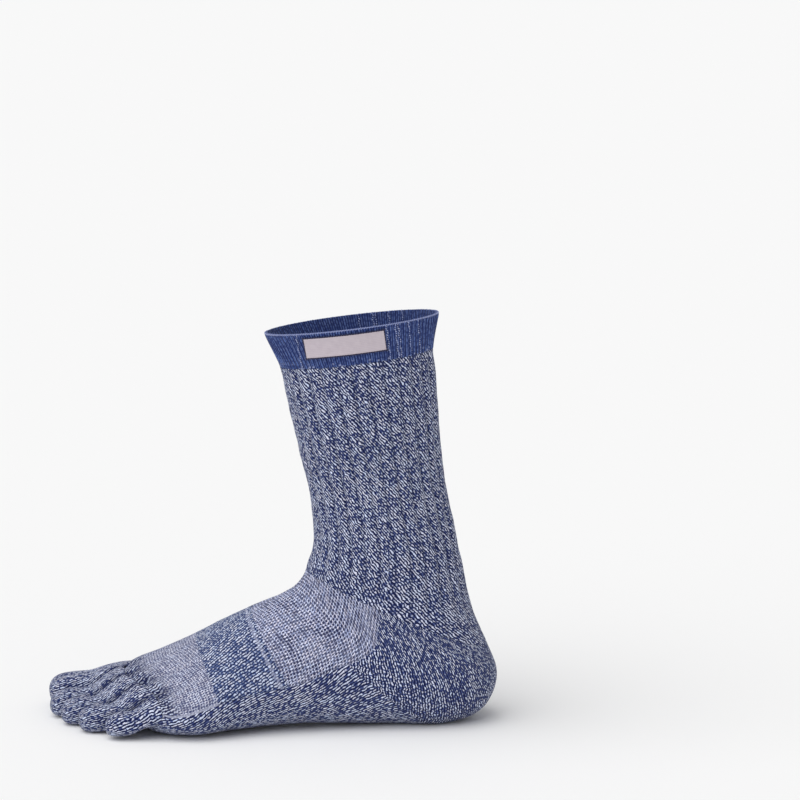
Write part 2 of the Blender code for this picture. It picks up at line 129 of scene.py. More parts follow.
def sectionRows():
    length, width, tall = sock["footLength"], sock["ballWidth"], sock["ankleHeight"]
    rows = []
    for topT, topZ, lowT, lowZ, inner, outer, ridge, *rest in footSections:
        rows.append((
            sock["heelSetback"] - topT * length, topZ * tall,
            sock["heelSetback"] - lowT * length, lowZ * tall,
            inner * width, outer * width, ridge * width, *rest, 0.0,
        ))
    for rise, flare, tilt, cant in legSections:
        along = rise * sock["legLength"]
        lean = sock["legLean"]
        middleY = sock["heelSetback"] - sock["legStart"] * length - along * math.sin(lean)
        middleZ = sock["legStartHeight"] * tall + along * math.cos(lean)
        depth = (sock["ankleDepth"] + flare * (sock["rimDepth"] - sock["ankleDepth"])) / 2
        side = (sock["ankleWidth"] + flare * (sock["rimWidth"] - sock["ankleWidth"])) / 2
        ahead, down = depth * math.cos(tilt * lean), depth * math.sin(tilt * lean)
        rows.append((
            middleY - ahead, middleZ - down, middleY + ahead, middleZ + down,
            -side, side, 0.0, 0.5, 0.5, 1.0, 1.0, 0.0, 0.0, cant,
        ))
    return np.array(rows)


sections = sectionRows()
footShape = {"ridgeCurve": 1.5, "archFrom": 0.35, "archSteep": 1.9, "archFade": 3}


def rootLine(x, share):
    across = toeRoots[:, 0] * sock["ballWidth"]
    above = np.interp(x, across, toeRoots[:, 1] * sock["footLength"])
    below = np.interp(x, across, toeRoots[:, 2] * sock["footLength"])
    return share * above + (1 - share) * below


def denseSection(place, steps=400):
    (topY, topZ, lowY, lowZ, inner, outer, ridge, waist, edge,
     roundTop, roundSole, slant, arch, cant) = between(sections, place)
    if edge < waist:
        edgeSine = -((waist - edge) / waist) ** (1 / roundSole)
    else:
        edgeSine = ((edge - waist) / (1 - waist)) ** (1 / roundTop)
    start = math.asin(edgeSine)
    angle = np.concatenate((
        np.linspace(start, math.pi - start, steps),
        np.linspace(math.pi - start, 2 * math.pi + start, steps)[1:],
    ))
    sine, cosine = np.sin(angle), np.cos(angle)
    shape = np.where(sine > 0, roundTop, roundSole)
    rise = np.sign(sine) * np.abs(sine) ** shape
    share = np.where(sine > 0, waist + (1 - waist) * rise, waist + waist * rise)
    middle = (inner + outer) / 2
    x = middle + (ridge - middle) * np.clip(rise, 0, 1) ** footShape["ridgeCurve"]
    x = x + (outer - inner) / 2 * np.sign(cosine) * np.abs(cosine) ** shape
    y = lowY + share * (topY - lowY) - slant * (rootLine(x, share) - rootMiddle * sock["footLength"])
    innerSide = eased(footShape["archFrom"] - x / sock["ballWidth"] * footShape["archSteep"])
    z = lowZ + share * (topZ - lowZ)
    z = z + arch * sock["archHeight"] * innerSide * (1 - share) ** footShape["archFade"]
    return np.stack((x, y, np.maximum(z + cant * x, 0.0)), axis=1), steps


def running(steps):
    # distance travelled up to each point
    return np.concatenate(((0.0,), np.cumsum(steps)))


def runOf(points):
    return running(np.linalg.norm(np.diff(points, axis=0), axis=1))


def evenly(points, steps):
    travelled = runOf(points)
    stops = np.linspace(0.0, travelled[-1], steps + 1)
    return np.stack([np.interp(stops, travelled, axis) for axis in points.T], axis=1)


def ringAt(place, overSteps, underSteps):
    points, steps = denseSection(place)
    over = evenly(points[:steps], overSteps)
    under = evenly(points[steps - 1:], underSteps)
    return np.concatenate((over[:-1], under[:-1])) - (0.0, 0.0, sock["underside"])


def acrossEach(rings, axis=0):
    # from the neighbour before each point to the one after it
    return np.roll(rings, -1, axis=axis) - np.roll(rings, 1, axis=axis)


def facingOut(normals, rings):
    outward = rings - rings.mean(axis=1, keepdims=True)
    return normals * math.copysign(1.0, np.sum(outward * normals))


nudge = 0.02        # step along the sections that a surface's direction is taken from


def loft(places, overSteps, underSteps):
    rings, normals = [], []
    for place in places:
        ring = ringAt(place, overSteps, underSteps)
        along = ringAt(place + nudge, overSteps, underSteps) - ringAt(place - nudge, overSteps, underSteps)
        rings.append(ring)
        normals.append(unit(np.cross(acrossEach(ring), along)))
    rings, normals = np.array(rings), np.array(normals)
    return rings, facingOut(normals, rings)


# coarse rings that even rows are measured on, and which of their points count
trial = {"stops": 160, "steps": 12, "percentile": 80}
overSide = slice(0, trial["steps"] + 1)
underSide = slice(trial["steps"], 2 * trial["steps"])
wholeRing = slice(0, 2 * trial["steps"])


def evenStops(coarse, reach, pitch):
    # an odd count of stops, about a pitch apart
    travelled = running(reach)
    count = 2 * math.ceil(travelled[-1] / pitch / 2) + 1
    return np.interp(np.linspace(0, travelled[-1], count), travelled, coarse)


def evenPlaces(first, last, pitch, side):
    coarse = np.linspace(first, last, trial["stops"])
    rings = np.array([ringAt(place, trial["steps"], trial["steps"])[side] for place in coarse])
    reach = np.percentile(np.linalg.norm(np.diff(rings, axis=0), axis=2), trial["percentile"], axis=1)
    return evenStops(coarse, reach, pitch)


lattice = {"primes": np.array((374761393, 668265263, 2147483647)), "seedStep": 974711, "scramble": 1274126177}


def softNoise(points, size, seed):
    # smooth lattice noise from -1 to 1, the same on every run
    scaled = points / size
    base = np.floor(scaled).astype(np.int64)
    part = scaled - base
    part = part * part * (3 - 2 * part)
    total = np.zeros(points.shape[:-1])
    for corner in range(8):
        offset = np.array([(corner >> axis) & 1 for axis in range(3)])
        number = ((base + offset) * lattice["primes"]).sum(axis=-1) + seed * lattice["seedStep"]
        number = (number ^ (number >> 13)) * lattice["scramble"]
        value = ((number ^ (number >> 16)) & 0xFFFF) / 32767.5 - 1
        total += value * np.prod(np.where(offset, part, 1 - part), axis=-1)
    return total


def travelledAlong(grid):
    steps = np.linalg.norm(np.diff(grid, axis=0), axis=2)
    return np.concatenate((np.zeros((1, grid.shape[1])), np.cumsum(steps, axis=0)))


# meshes of knitted wall, with the knit's own coordinates


def quads(vertex, rows, columns, closed):
    across = columns if closed else columns - 1
    row, column = np.meshgrid(np.arange(rows - 1), np.arange(across), indexing="ij")
    beside = (column + 1) % columns
    found = (vertex(row, column), vertex(row, beside), vertex(row + 1, beside), vertex(row + 1, column))
    return np.stack([part.ravel() for part in found], axis=1).tolist()


def strip(outer, inner, closed):
    # joins an edge to the lining's, which has every second point
    faces = []
    count = len(inner) if closed else len(inner) - 1
    for index in range(count):
        first, middle, last = (outer[(2 * index + step) % len(outer)] for step in (0, 1, 2))
        faces.append([first, middle, last, inner[(index + 1) % len(inner)], inner[index]])
    return faces


def meshNumbers(items, key):
    values = np.empty(len(items), dtype=np.int32)
    items.foreach_get(key, values)
    return values


def cornerValues(mesh, values, around=0.0):
    found = values[meshNumbers(mesh.loops, "vertex_index")]
    totals = meshNumbers(mesh.polygons, "loop_total")
    if around:      # faces that close a ring take the far side of the seam
        first = found[:, 0]
        highest = np.maximum.reduceat(first, meshNumbers(mesh.polygons, "loop_start"))
        found[:, 0] = np.where(np.repeat(highest, totals) - first > around / 2, first + around, first)
    return found, totals


def packed(values):
    return values.astype(np.float32).ravel()


def newObject(name, data):
    made = bpy.data.objects.new(name, data)
    bpy.context.scene.collection.objects.link(made)
    return made


# the UV map named OFBake, by kind of face: outer, lining, first end, last end, first side, last side
bakeLow = (0.005, 0.70, 0.955, 0.967, 0.979, 0.991)
bakeTall = (0.68, 0.24, 0.007, 0.007, 0.007, 0.007)
bakeWide, bakeMargin = 0.99, 0.005


def knitPiece(name, vertices, faces, kinds, knit, shares, around, material):
    mesh = bpy.data.meshes.new(name)
    mesh.from_pydata(vertices.tolist(), [], faces)
    shell = bmesh.new()
    shell.from_mesh(mesh)
    bmesh.ops.recalc_face_normals(shell, faces=shell.faces)
    shell.to_mesh(mesh)
    shell.free()
    mesh.polygons.foreach_set("use_smooth", np.ones(len(mesh.polygons), dtype=bool))
    knitAt, totals = cornerValues(mesh, knit, around)
    place = mesh.attributes.new("knit", "FLOAT_VECTOR", "CORNER")
    place.data.foreach_set("vector", packed(knitAt))
    across, up, side = cornerValues(mesh, shares, 1.0 if around else 0.0)[0].T
    kind = np.repeat(np.array(kinds), totals)
    onEdge, onSide = kind > 1, kind > 3
    u = np.where(onSide, up, across) * bakeWide + bakeMargin
    v = np.choose(kind, bakeLow) + np.choose(kind, bakeTall) * np.where(onEdge, side, up)
    layer = mesh.uv_layers.new(name="OFBake")
    layer.uv.foreach_set("vector", packed(np.stack((u, v), axis=1)))
    mesh.materials.append(material)
    return newObject(name, mesh)


fanReach = 0.001        # how far a toe's knit runs on from its last row to the tip


def wallPiece(name, outer, inner, wale, course, zone, material, closed=False, tips=None, around=0.0):
    rows, columns = outer.shape[:2]
    innerRows, innerColumns = inner.shape[:2]
    first = rows * columns

    def outside(row, column):
        return row * columns + column

    def inside(row, column):
        return first + row * innerColumns + column

    faces = quads(outside, rows, columns, closed)
    kinds = [0] * len(faces)
    lining = quads(inside, innerRows, innerColumns, closed)
    faces += lining
    kinds += [1] * len(lining)
    ends = [(0, 0, 2)] if tips is not None else [(0, 0, 2), (rows - 1, innerRows - 1, 3)]
    for outerRow, innerRow, kind in ends:
        edge = strip([outside(outerRow, c) for c in range(columns)],
                     [inside(innerRow, c) for c in range(innerColumns)], closed)
        faces += edge
        kinds += [kind] * len(edge)
    if not closed:
        for outerColumn, innerColumn, kind in ((0, 0, 4), (columns - 1, innerColumns - 1, 5)):
            edge = strip([outside(r, outerColumn) for r in range(rows)],
                         [inside(r, innerColumn) for r in range(innerRows)], False)
            faces += edge
            kinds += [kind] * len(edge)
    vertices = np.concatenate((outer.reshape(-1, 3), inner.reshape(-1, 3)))

    def spreadOut(grid):
        return np.concatenate((grid.ravel(), grid[::2, ::2].ravel()))

    full = np.ones((rows, columns))
    knit = np.stack([spreadOut(grid * full) for grid in (wale, course, zone)], axis=1)
    columnShare = np.arange(columns)[None, :] / (columns if closed else columns - 1)
    rowShare = np.arange(rows)[:, None] / (rows - 1 + (tips is not None))
    shares = np.stack((
        spreadOut(columnShare * full), spreadOut(rowShare * full),
        np.concatenate((np.zeros(first), np.ones(inner.shape[0] * innerColumns))),
    ), axis=1)
    if tips is not None:        # a fan of faces closes each toe's tip
        total = len(vertices)
        vertices = np.concatenate((vertices, tips))
        reach = course[-1].mean() + fanReach
        knit = np.concatenate((knit, [[around / 2, reach, 0.0]] * 2))
        shares = np.concatenate((shares, [[0.5, 1.0, 0.0], [0.5, 1.0, 1.0]]))
        for column in range(columns):
            faces.append([outside(rows - 1, column), outside(rows - 1, (column + 1) % columns), total])
            kinds.append(0)
        for column in range(innerColumns):
            beside = (column + 1) % innerColumns
            faces.append([inside(innerRows - 1, column), inside(innerRows - 1, beside), total + 1])
            kinds.append(1)
    return knitPiece(name, vertices, faces, kinds, knit, shares, around, material)


def dress(piece, node):
    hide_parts(node)
    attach(piece, "root")
    print("made", piece.name, len(piece.data.polygons), "faces")


# node trees


def put(tree, kind, inputs=None, **settings):
    made = tree.nodes.new(kind)
    for key, value in settings.items():
        setattr(made, key, value)
    for key, value in (inputs or {}).items():
        if isinstance(value, bpy.types.NodeSocket):
            tree.links.new(value, made.inputs[key])
        else:
            made.inputs[key].default_value = value
    return made


def firstOut(tree, kind, inputs=None, **settings):
    return put(tree, kind, inputs, **settings).outputs[0]


def calc(tree, how, first, second=0.0, third=0.0):
    return firstOut(tree, "ShaderNodeMath", {0: first, 1: second, 2: third}, operation=how)


def vectorCalc(tree, how, first, second):
    key = "Scale" if how == "SCALE" else 1
    inputs = {0: first, key: second}
    return firstOut(tree, "ShaderNodeVectorMath", inputs, operation=how)


def ramped(tree, value, low, high, start=0.0, end=1.0):
    inputs = {"Value": value, "From Min": low, "From Max": high, "To Min": start, "To Max": end}
    return put(tree, "ShaderNodeMapRange", inputs, interpolation_type="SMOOTHSTEP").outputs["Result"]


def faded(tree, value, low, high):
    return calc(tree, "SUBTRACT", 1.0, ramped(tree, value, low, high))


def mixed(tree, share, first, second, how="MIX"):
    inputs = {0: share, 6: first, 7: second}
    return put(tree, "ShaderNodeMix", inputs, data_type="RGBA", blend_type=how).outputs[2]


def noisy(tree, place, scale, detail=2.0):
    inputs = {"Vector": place, "Scale": scale, "Detail": detail}
    return put(tree, "ShaderNodeTexNoise", inputs).outputs


def chance(tree, x, y, z=0.0):
    place = firstOut(tree, "ShaderNodeCombineXYZ", {0: x, 1: y, 2: z})
    return put(tree, "ShaderNodeTexWhiteNoise", {"Vector": place}, noise_dimensions="3D").outputs["Value"]


def paint(red, green, blue):
    # screen colour to the linear colour that nodes take
    def linear(value):
        value = value / 255
        return value / 12.92 if value <= 0.04045 else ((value + 0.055) / 1.055) ** 2.4
    return (linear(red), linear(green), linear(blue), 1.0)


def newGroup(name, inputs, outputs):
    tree = bpy.data.node_groups.new(name, "ShaderNodeTree")
    for label, value in inputs.items():
        kind = "Float" if isinstance(value, (int, float)) else ("Color" if len(value) == 4 else "Vector")
        socket = tree.interface.new_socket(name=label, in_out="INPUT", socket_type="NodeSocket" + kind)
        socket.default_value = value
    for label, kind in outputs.items():
        tree.interface.new_socket(name=label, in_out="OUTPUT", socket_type="NodeSocket" + kind)
    return tree, tree.nodes.new("NodeGroupInput").outputs, tree.nodes.new("NodeGroupOutput").inputs


def axesOf(tree, vector):
    return put(tree, "ShaderNodeSeparateXYZ", {0: vector}).outputs


def flatPlace(tree, place):
    x, y, _ = axesOf(tree, place)
    return firstOut(tree, "ShaderNodeCombineXYZ", {0: x, 1: y})


def drifted(tree, place, scale, amount):
    # the place moved about by soft noise
    drift = vectorCalc(tree, "SUBTRACT", noisy(tree, place, scale)["Color"], (0.5, 0.5, 0.5))
    return vectorCalc(tree, "ADD", place, vectorCalc(tree, "SCALE", drift, amount))


def cells(tree, value):
    # the number of the cell that a value is in, and how far along it
    return calc(tree, "FLOOR", value), calc(tree, "FRACT", value)


# two-colour yarn: leaning strands with dark gaps, broken into runs of light, middle and dark; the gaps' dark
# is partly the dark ply and partly painted shade between strands
strands = {
    "driftScale": 360.0, "drift": 3.0, "rowShift": 0.5, "rowLuck": 0.7, "patchScale": 95.0, "runBlur": 0.07,
    "runStart": 0.12, "gapBlur": 0.25, "fullLuck": 0.6, "faintest": 0.55, "warm": (1.04, 0.99, 0.96, 1.0),
    "cool": (0.95, 1.0, 1.05, 1.0), "fibreScale": 1300.0, "fibre": 0.8, "fibreHeight": 0.25,
}


def marlGroup():
    tree, given, out = newGroup("marlYarn", {
        "Place": (0.0, 0.0, 0.0), "Strand": 0.0016, "Run": 0.0024, "Lean": -0.7, "Light Share": 0.5,
        "Mixture": 0.4, "Patches": 0.3, "Wander": 0.0006, "Gap": 0.4, "Seed": 1.0,
        "Light": (0.6, 0.6, 0.7, 1.0), "Middle": (0.3, 0.3, 0.5, 1.0), "Dark": (0.02, 0.03, 0.15, 1.0),
    }, {"Color": "Color", "Height": "Float"})
    place = flatPlace(tree, given["Place"])
    wander = calc(tree, "MULTIPLY", given["Wander"], strands["drift"])
    bent = drifted(tree, place, strands["driftScale"], wander)
    turned = firstOut(tree, "ShaderNodeVectorRotate", {"Vector": bent, "Angle": given["Lean"]},
                      rotation_type="Z_AXIS")
    x, y, _ = axesOf(tree, turned)
    row, across = cells(tree, calc(tree, "DIVIDE", y, given["Strand"]))
    shift = calc(tree, "MULTIPLY", chance(tree, row, given["Seed"]), strands["rowLuck"])
    shift = calc(tree, "MULTIPLY_ADD", row, strands["rowShift"], shift)
    run, along = cells(tree, calc(tree, "ADD", calc(tree, "DIVIDE", x, given["Run"]), shift))
    luck = chance(tree, row, run, given["Seed"])
    patch = calc(tree, "SUBTRACT", noisy(tree, place, strands["patchScale"], 3.0)["Fac"], 0.5)
    share = calc(tree, "MULTIPLY_ADD", patch, given["Patches"], given["Light Share"])
    share = calc(tree, "MULTIPLY_ADD", calc(tree, "SUBTRACT", luck, 0.5), given["Mixture"], share)
    ending = faded(tree, along, calc(tree, "SUBTRACT", share, strands["runBlur"]),
                   calc(tree, "ADD", share, strands["runBlur"]))
    lit = calc(tree, "MULTIPLY", ramped(tree, along, 0.0, strands["runStart"]), ending)
    side = calc(tree, "ABSOLUTE", calc(tree, "MULTIPLY_ADD", across, 2.0, -1.0))
    # the gap between strands darkens to the dark colour: partly the dark ply, partly painted shade
    body = faded(tree, side, given["Gap"], calc(tree, "ADD", given["Gap"], strands["gapBlur"]))
    bright = ramped(tree, luck, 0.0, strands["fullLuck"], strands["faintest"], 1.0)
    lit = calc(tree, "MULTIPLY", lit, bright)
    colour = mixed(tree, body, given["Dark"], mixed(tree, lit, given["Middle"], given["Light"]))
    tint = mixed(tree, chance(tree, run, row, 7.0), strands["warm"], strands["cool"])
    colour = mixed(tree, 1.0, colour, tint, "MULTIPLY")
    crown = calc(tree, "SUBTRACT", 1.0, calc(tree, "MULTIPLY", side, side))
    height = calc(tree, "MULTIPLY", crown, calc(tree, "MULTIPLY_ADD", lit, 0.5, 0.5))
    fibre = noisy(tree, bent, strands["fibreScale"])["Fac"]
    shade = calc(tree, "MULTIPLY_ADD", fibre, strands["fibre"], 1.0 - strands["fibre"] / 2)
    tree.links.new(mixed(tree, 1.0, colour, shade, "MULTIPLY"), out["Color"])
    tree.links.new(calc(tree, "MULTIPLY_ADD", fibre, strands["fibreHeight"], height), out["Height"])
    return tree


# open mesh: rows of small holes between light strands
holes = {"driftScale": 330.0, "drift": 0.002, "smallest": 0.62, "luck": 0.7, "blur": 0.16, "strandFrom": 0.18}


def meshGroup():
    tree, given, out = newGroup("openMesh", {
        "Place": (0.0, 0.0, 0.0), "Across": 0.00155, "Along": 0.0019, "Hole": 0.27, "Unevenness": 0.3,
        "Seed": 3.0,
    }, {"Hole": "Float", "Height": "Float"})
    place = flatPlace(tree, given["Place"])
    wander = calc(tree, "MULTIPLY", given["Unevenness"], holes["drift"])
    bent = drifted(tree, place, holes["driftScale"], wander)
    x, y, _ = axesOf(tree, bent)
    row, across = cells(tree, calc(tree, "DIVIDE", x, given["Across"]))
    shift = calc(tree, "MULTIPLY", chance(tree, row, given["Seed"]), given["Unevenness"])
    stitch, along = cells(tree, calc(tree, "ADD", calc(tree, "DIVIDE", y, given["Along"]), shift))
    across, along = (calc(tree, "SUBTRACT", part, 0.5) for part in (across, along))
    luck = chance(tree, row, stitch, given["Seed"])
    size = calc(tree, "MULTIPLY", given["Hole"],
                calc(tree, "MULTIPLY_ADD", luck, holes["luck"], holes["smallest"]))
    far = calc(tree, "ADD", calc(tree, "MULTIPLY", across, across), calc(tree, "MULTIPLY", along, along))
    far = calc(tree, "SQRT", far)
    hole = ramped(tree, far, size, calc(tree, "ADD", size, holes["blur"]), 1.0, 0.0)
    strand = ramped(tree, calc(tree, "ABSOLUTE", across), holes["strandFrom"], 0.5)
    tree.links.new(hole, out["Hole"])
    tree.links.new(calc(tree, "SUBTRACT", calc(tree, "MULTIPLY_ADD", strand, 0.4, 0.6), hole), out["Height"])
    return tree


marlTree = marlGroup()
meshTree = meshGroup()


# crease, ribShade and ribValley set painted shade, in creases and between the ribs
cloth = {
    "specular": 0.18, "sheenRoughness": 0.5, "roughness": 0.92, "sheen": 0.08, "bump": 0.8,
    "bumpDepth": 0.0006, "crease": 0.7, "ribShade": 0.4, "ribValley": 0.5,
}


def newMaterial(name, roughness=cloth["roughness"], sheen=cloth["sheen"]):
    material = bpy.data.materials.new(name)
    material.use_nodes = True
    tree = material.node_tree
    shader = tree.nodes["Principled BSDF"]
    shader.inputs["Roughness"].default_value = roughness
    shader.inputs["Specular IOR Level"].default_value = cloth["specular"]
    shader.inputs["Sheen Weight"].default_value = sheen
    shader.inputs["Sheen Roughness"].default_value = cloth["sheenRoughness"]
    return material, tree, shader


def knitPlace(tree):
    return put(tree, "ShaderNodeAttribute", attribute_name="knit").outputs["Vector"]


def group(tree, used, **values):
    made = put(tree, "ShaderNodeGroup", node_tree=used)
    for key, value in values.items():
        socket = made.inputs[key.replace("_", " ")]
        if isinstance(value, bpy.types.NodeSocket):
            tree.links.new(value, socket)
        else:
            socket.default_value = value
    return made.outputs


def finishWith(tree, shader, colour, height, strength=cloth["bump"], distance=cloth["bumpDepth"]):
    tree.links.new(colour, shader.inputs["Base Color"])
    bump = firstOut(tree, "ShaderNodeBump", {"Strength": strength, "Distance": distance, "Height": height})
    tree.links.new(bump, shader.inputs["Normal"])


def shadedInCreases(tree, colour, dark):
    # painted shade in creases: the colour darkens towards the dark one by the stored crease value
    shadeInCreases = put(tree, "ShaderNodeAttribute", attribute_name="shadeInCreases").outputs["Fac"]
    return mixed(tree, calc(tree, "MULTIPLY", shadeInCreases, cloth["crease"]), colour, dark)


def ribShaded(tree, place, colour, pitch, dark, strength):
    # painted shade between the ribs: the colour darkens towards the given dark where the ridge term is low
    wale = axesOf(tree, place)[0]
    ridge = calc(tree, "ABSOLUTE", calc(tree, "COSINE", calc(tree, "MULTIPLY", wale, math.pi / pitch)))
    shadeBetweenRibs = faded(tree, ridge, 0.0, cloth["ribValley"])
    return mixed(tree, calc(tree, "MULTIPLY", shadeBetweenRibs, strength), colour, dark)


def marlMaterial(name, yarn, ribPitch=0.0):
    material, tree, shader = newMaterial(name)
    place = knitPlace(tree)
    marl = group(tree, marlTree, Place=place, **yarn)
    colour = marl["Color"]
    if ribPitch:
        colour = ribShaded(tree, place, colour, ribPitch, yarn["Dark"], cloth["ribShade"])
    finishWith(tree, shader, shadedInCreases(tree, colour, yarn["Dark"]), marl["Height"])
    return material


legYarn = {
    "Strand": 0.0014, "Run": 0.0027, "Lean": math.radians(-52), "Light_Share": 0.74, "Mixture": 0.8,
    "Patches": 0.30, "Wander": 0.0008, "Gap": 0.30, "Seed": 1.0,
    "Light": paint(218, 225, 248), "Middle": paint(70, 82, 130), "Dark": paint(16, 27, 74),
}
soleYarn = dict(legYarn, Strand=0.0018, Run=0.0032, Lean=math.radians(-68), Light_Share=0.70, Seed=5.0)
heelYarn = dict(legYarn, Strand=0.0012, Run=0.0022, Lean=math.radians(-40), Light_Share=0.56, Seed=6.0)
toeYarn = dict(
    soleYarn, Strand=0.0019, Run=0.0030, Lean=math.radians(66), Light_Share=0.82, Wander=0.0010, Seed=15.0,
)
foreYarn = dict(toeYarn, Lean=math.radians(-60), Seed=18.0)
bandYarn = dict(
    soleYarn, Strand=0.0016, Run=0.0023, Lean=math.radians(-67), Light_Share=0.66, Patches=0.8, Gap=0.36,
    Seed=8.0, Light=paint(206, 215, 238), Middle=paint(82, 98, 142), Dark=paint(30, 42, 88),
)
panelYarn = {
    "Strand": 0.0013, "Run": 0.0032, "Lean": math.radians(-58), "Light_Share": 0.75, "Mixture": 0.5,
    "Patches": 0.3, "Wander": 0.0004, "Gap": 0.50, "Seed": 11.0,
    "Light": paint(226, 229, 250), "Middle": paint(170, 176, 206), "Dark": paint(118, 126, 166),
}
wideMesh = {"Across": 0.0019, "Along": 0.0018, "Hole": 0.29, "Unevenness": 0.10}
fineMesh = {"Across": 0.0015, "Along": 0.0016, "Hole": 0.31, "Unevenness": 0.4, "Seed": 21.0}
panelLook = {
    "bandFront": 3.7, "bandBack": 6.25, "bandBlur": 0.04, "terryFrom": 0.7, "terryTo": 1.8, "stripe": 6.02,
    "stripeInner": 0.03, "stripeOuter": 0.09, "stripeShare": 0.35, "width": 0.1206, "edgingInner": 0.0008,
    "edgingOuter": 0.0017, "edgingShare": 0.6, "ragged": 0.24, "raggedScale": 420.0, "looseScale": 60.0,
    "looseFrom": 0.38, "looseTo": 0.62, "holeShare": 0.95, "loosened": -0.18, "fineShare": 0.85,
    "paler": 0.2, "wideYarnHeight": 0.35, "fineYarnHeight": 0.5,
    # hole colours: partly the navy of the inner wall, partly painted shade seen through the holes
    "hole": paint(24, 30, 74), "fineShadeInHoles": paint(34, 44, 98), "pale": paint(204, 208, 232),
    "palest": paint(244, 246, 255),
}


def blended(tree, share, first, second):
    return firstOut(tree, "ShaderNodeMix", {0: share, 2: first, 3: second})


def panelMaterial():
    material, tree, shader = newMaterial("instep_mesh")
    look = panelLook
    place = knitPlace(tree)
    wale, _, zone = axesOf(tree, place)
    base, band, fore = (group(tree, marlTree, Place=place, **yarn)
                        for yarn in (panelYarn, bandYarn, foreYarn))
    wide, fine = (group(tree, meshTree, Place=place, **mesh) for mesh in (wideMesh, fineMesh))
    flat = flatPlace(tree, place)
    ragged = noisy(tree, flat, look["raggedScale"])["Fac"]
    zone = calc(tree, "ADD", zone, calc(tree, "MULTIPLY_ADD", ragged, look["ragged"], -look["ragged"] / 2))
    rear, front = (ramped(tree, zone, look[edge] - look["bandBlur"], look[edge] + look["bandBlur"])
                   for edge in ("bandBack", "bandFront"))
    toeward = ramped(tree, zone, look["terryFrom"], look["terryTo"])
    loose = noisy(tree, flat, look["looseScale"])["Fac"]
    loose = ramped(tree, loose, look["looseFrom"], look["looseTo"])
    weight = calc(tree, "MULTIPLY_ADD", loose, look["loosened"], look["holeShare"])
    # the holes are a real pattern; their dark colour, in the open and the close mesh, is partly the navy
    # inner wall and partly painted shade
    openPart = mixed(tree, calc(tree, "MULTIPLY", wide["Hole"], weight), base["Color"], look["hole"])
    paler = mixed(tree, look["paler"], base["Color"], look["palest"])
    closePart = mixed(tree, calc(tree, "MULTIPLY", fine["Hole"], look["fineShare"]), paler, look["fineShadeInHoles"])
    colour = mixed(tree, toeward, shadedInCreases(tree, fore["Color"], foreYarn["Dark"]), closePart)
    colour = mixed(tree, front, colour, band["Color"])
    colour = mixed(tree, rear, colour, openPart)
    fromStripe = calc(tree, "ABSOLUTE", calc(tree, "SUBTRACT", zone, look["stripe"]))
    stripe = faded(tree, fromStripe, look["stripeInner"], look["stripeOuter"])
    fromSide = calc(tree, "MINIMUM", wale, calc(tree, "SUBTRACT", look["width"], wale))
    edging = faded(tree, fromSide, look["edgingInner"], look["edgingOuter"])
    edging = calc(tree, "MULTIPLY", edging, calc(tree, "SUBTRACT", 1.0, front))
    pale = calc(tree, "MAXIMUM", calc(tree, "MULTIPLY", stripe, look["stripeShare"]),
                calc(tree, "MULTIPLY", edging, look["edgingShare"]))
    colour = mixed(tree, pale, colour, look["pale"])
    openHeight = calc(tree, "MULTIPLY_ADD", base["Height"], look["wideYarnHeight"], wide["Height"])
    closeHeight = calc(tree, "MULTIPLY_ADD", base["Height"], look["fineYarnHeight"], fine["Height"])
    height = blended(tree, rear, blended(tree, front, closeHeight, band["Height"]), openHeight)
    finishWith(tree, shader, colour, height)
    return material


legRibs = {
    "ribs": 28, "columnsPerRib": 14, "ribHeight": 0.0016, "sharpness": 0.7, "sink": 0.55, "pitch": 0.00084,
    "wall": 0.0022, "girth": 0.250, "fadeIn": 2.0, "fadeFrom": 18.2, "fadeOver": 0.8, "fadeShare": 0.5,
    "evenest": 0.8, "unevenness": 0.4, "unevenSize": 0.012, "stretch": 0.35, "seamShare": 0.35,
    "bendRounds": 450, "bendCrowd": 0.0004, "bendFrom": 14.0, "bendOver": 2.5, "lastCourse": 0.3,
}
cuff = {
    "ribs": 96, "columnsPerRib": 6, "ribHeight": 0.0006, "wall": 0.0023, "rimWall": 0.0016, "lumps": 0.5,
    "outerRows": 30, "rimRows": 9, "innerRows": 16, "girth": 0.270, "flattened": 0.7, "flattenFrom": 0.9,
    "rimRib": 0.3, "innerRib": -0.6,
}
cuffYarn = {
    "Strand": 0.0014, "Run": 0.0030, "Lean": math.radians(-86), "Light_Share": 0.66, "Mixture": 0.7,
    "Patches": 0.4, "Wander": 0.0002, "Gap": 0.45, "Seed": 31.0,
    "Light": paint(86, 106, 160), "Middle": paint(54, 72, 126), "Dark": paint(27, 40, 92),
}
# the colour for between the ribs is painted shade
cuffLook = {
    "roughness": 0.88, "ribShade": 0.5, "shadeBetweenRibs": paint(24, 36, 84), "backAndShadeShare": 0.30,
    # the inside colour: partly the darker back of the knit, partly painted shade in the opening
    "inside": paint(20, 28, 66), "speckWide": 0.0013, "speckTall": 0.0009, "speckLuck": 0.90,
    "speckFrom": 0.0155, "speckTo": 0.0185, "speckShare": 0.6, "speck": paint(170, 178, 212),
    "rimInner": 0.0003, "rimOuter": 0.0009, "rimShare": 0.35, "rim": paint(120, 130, 176),
    "bump": 0.5, "bumpDepth": 0.0004,
}


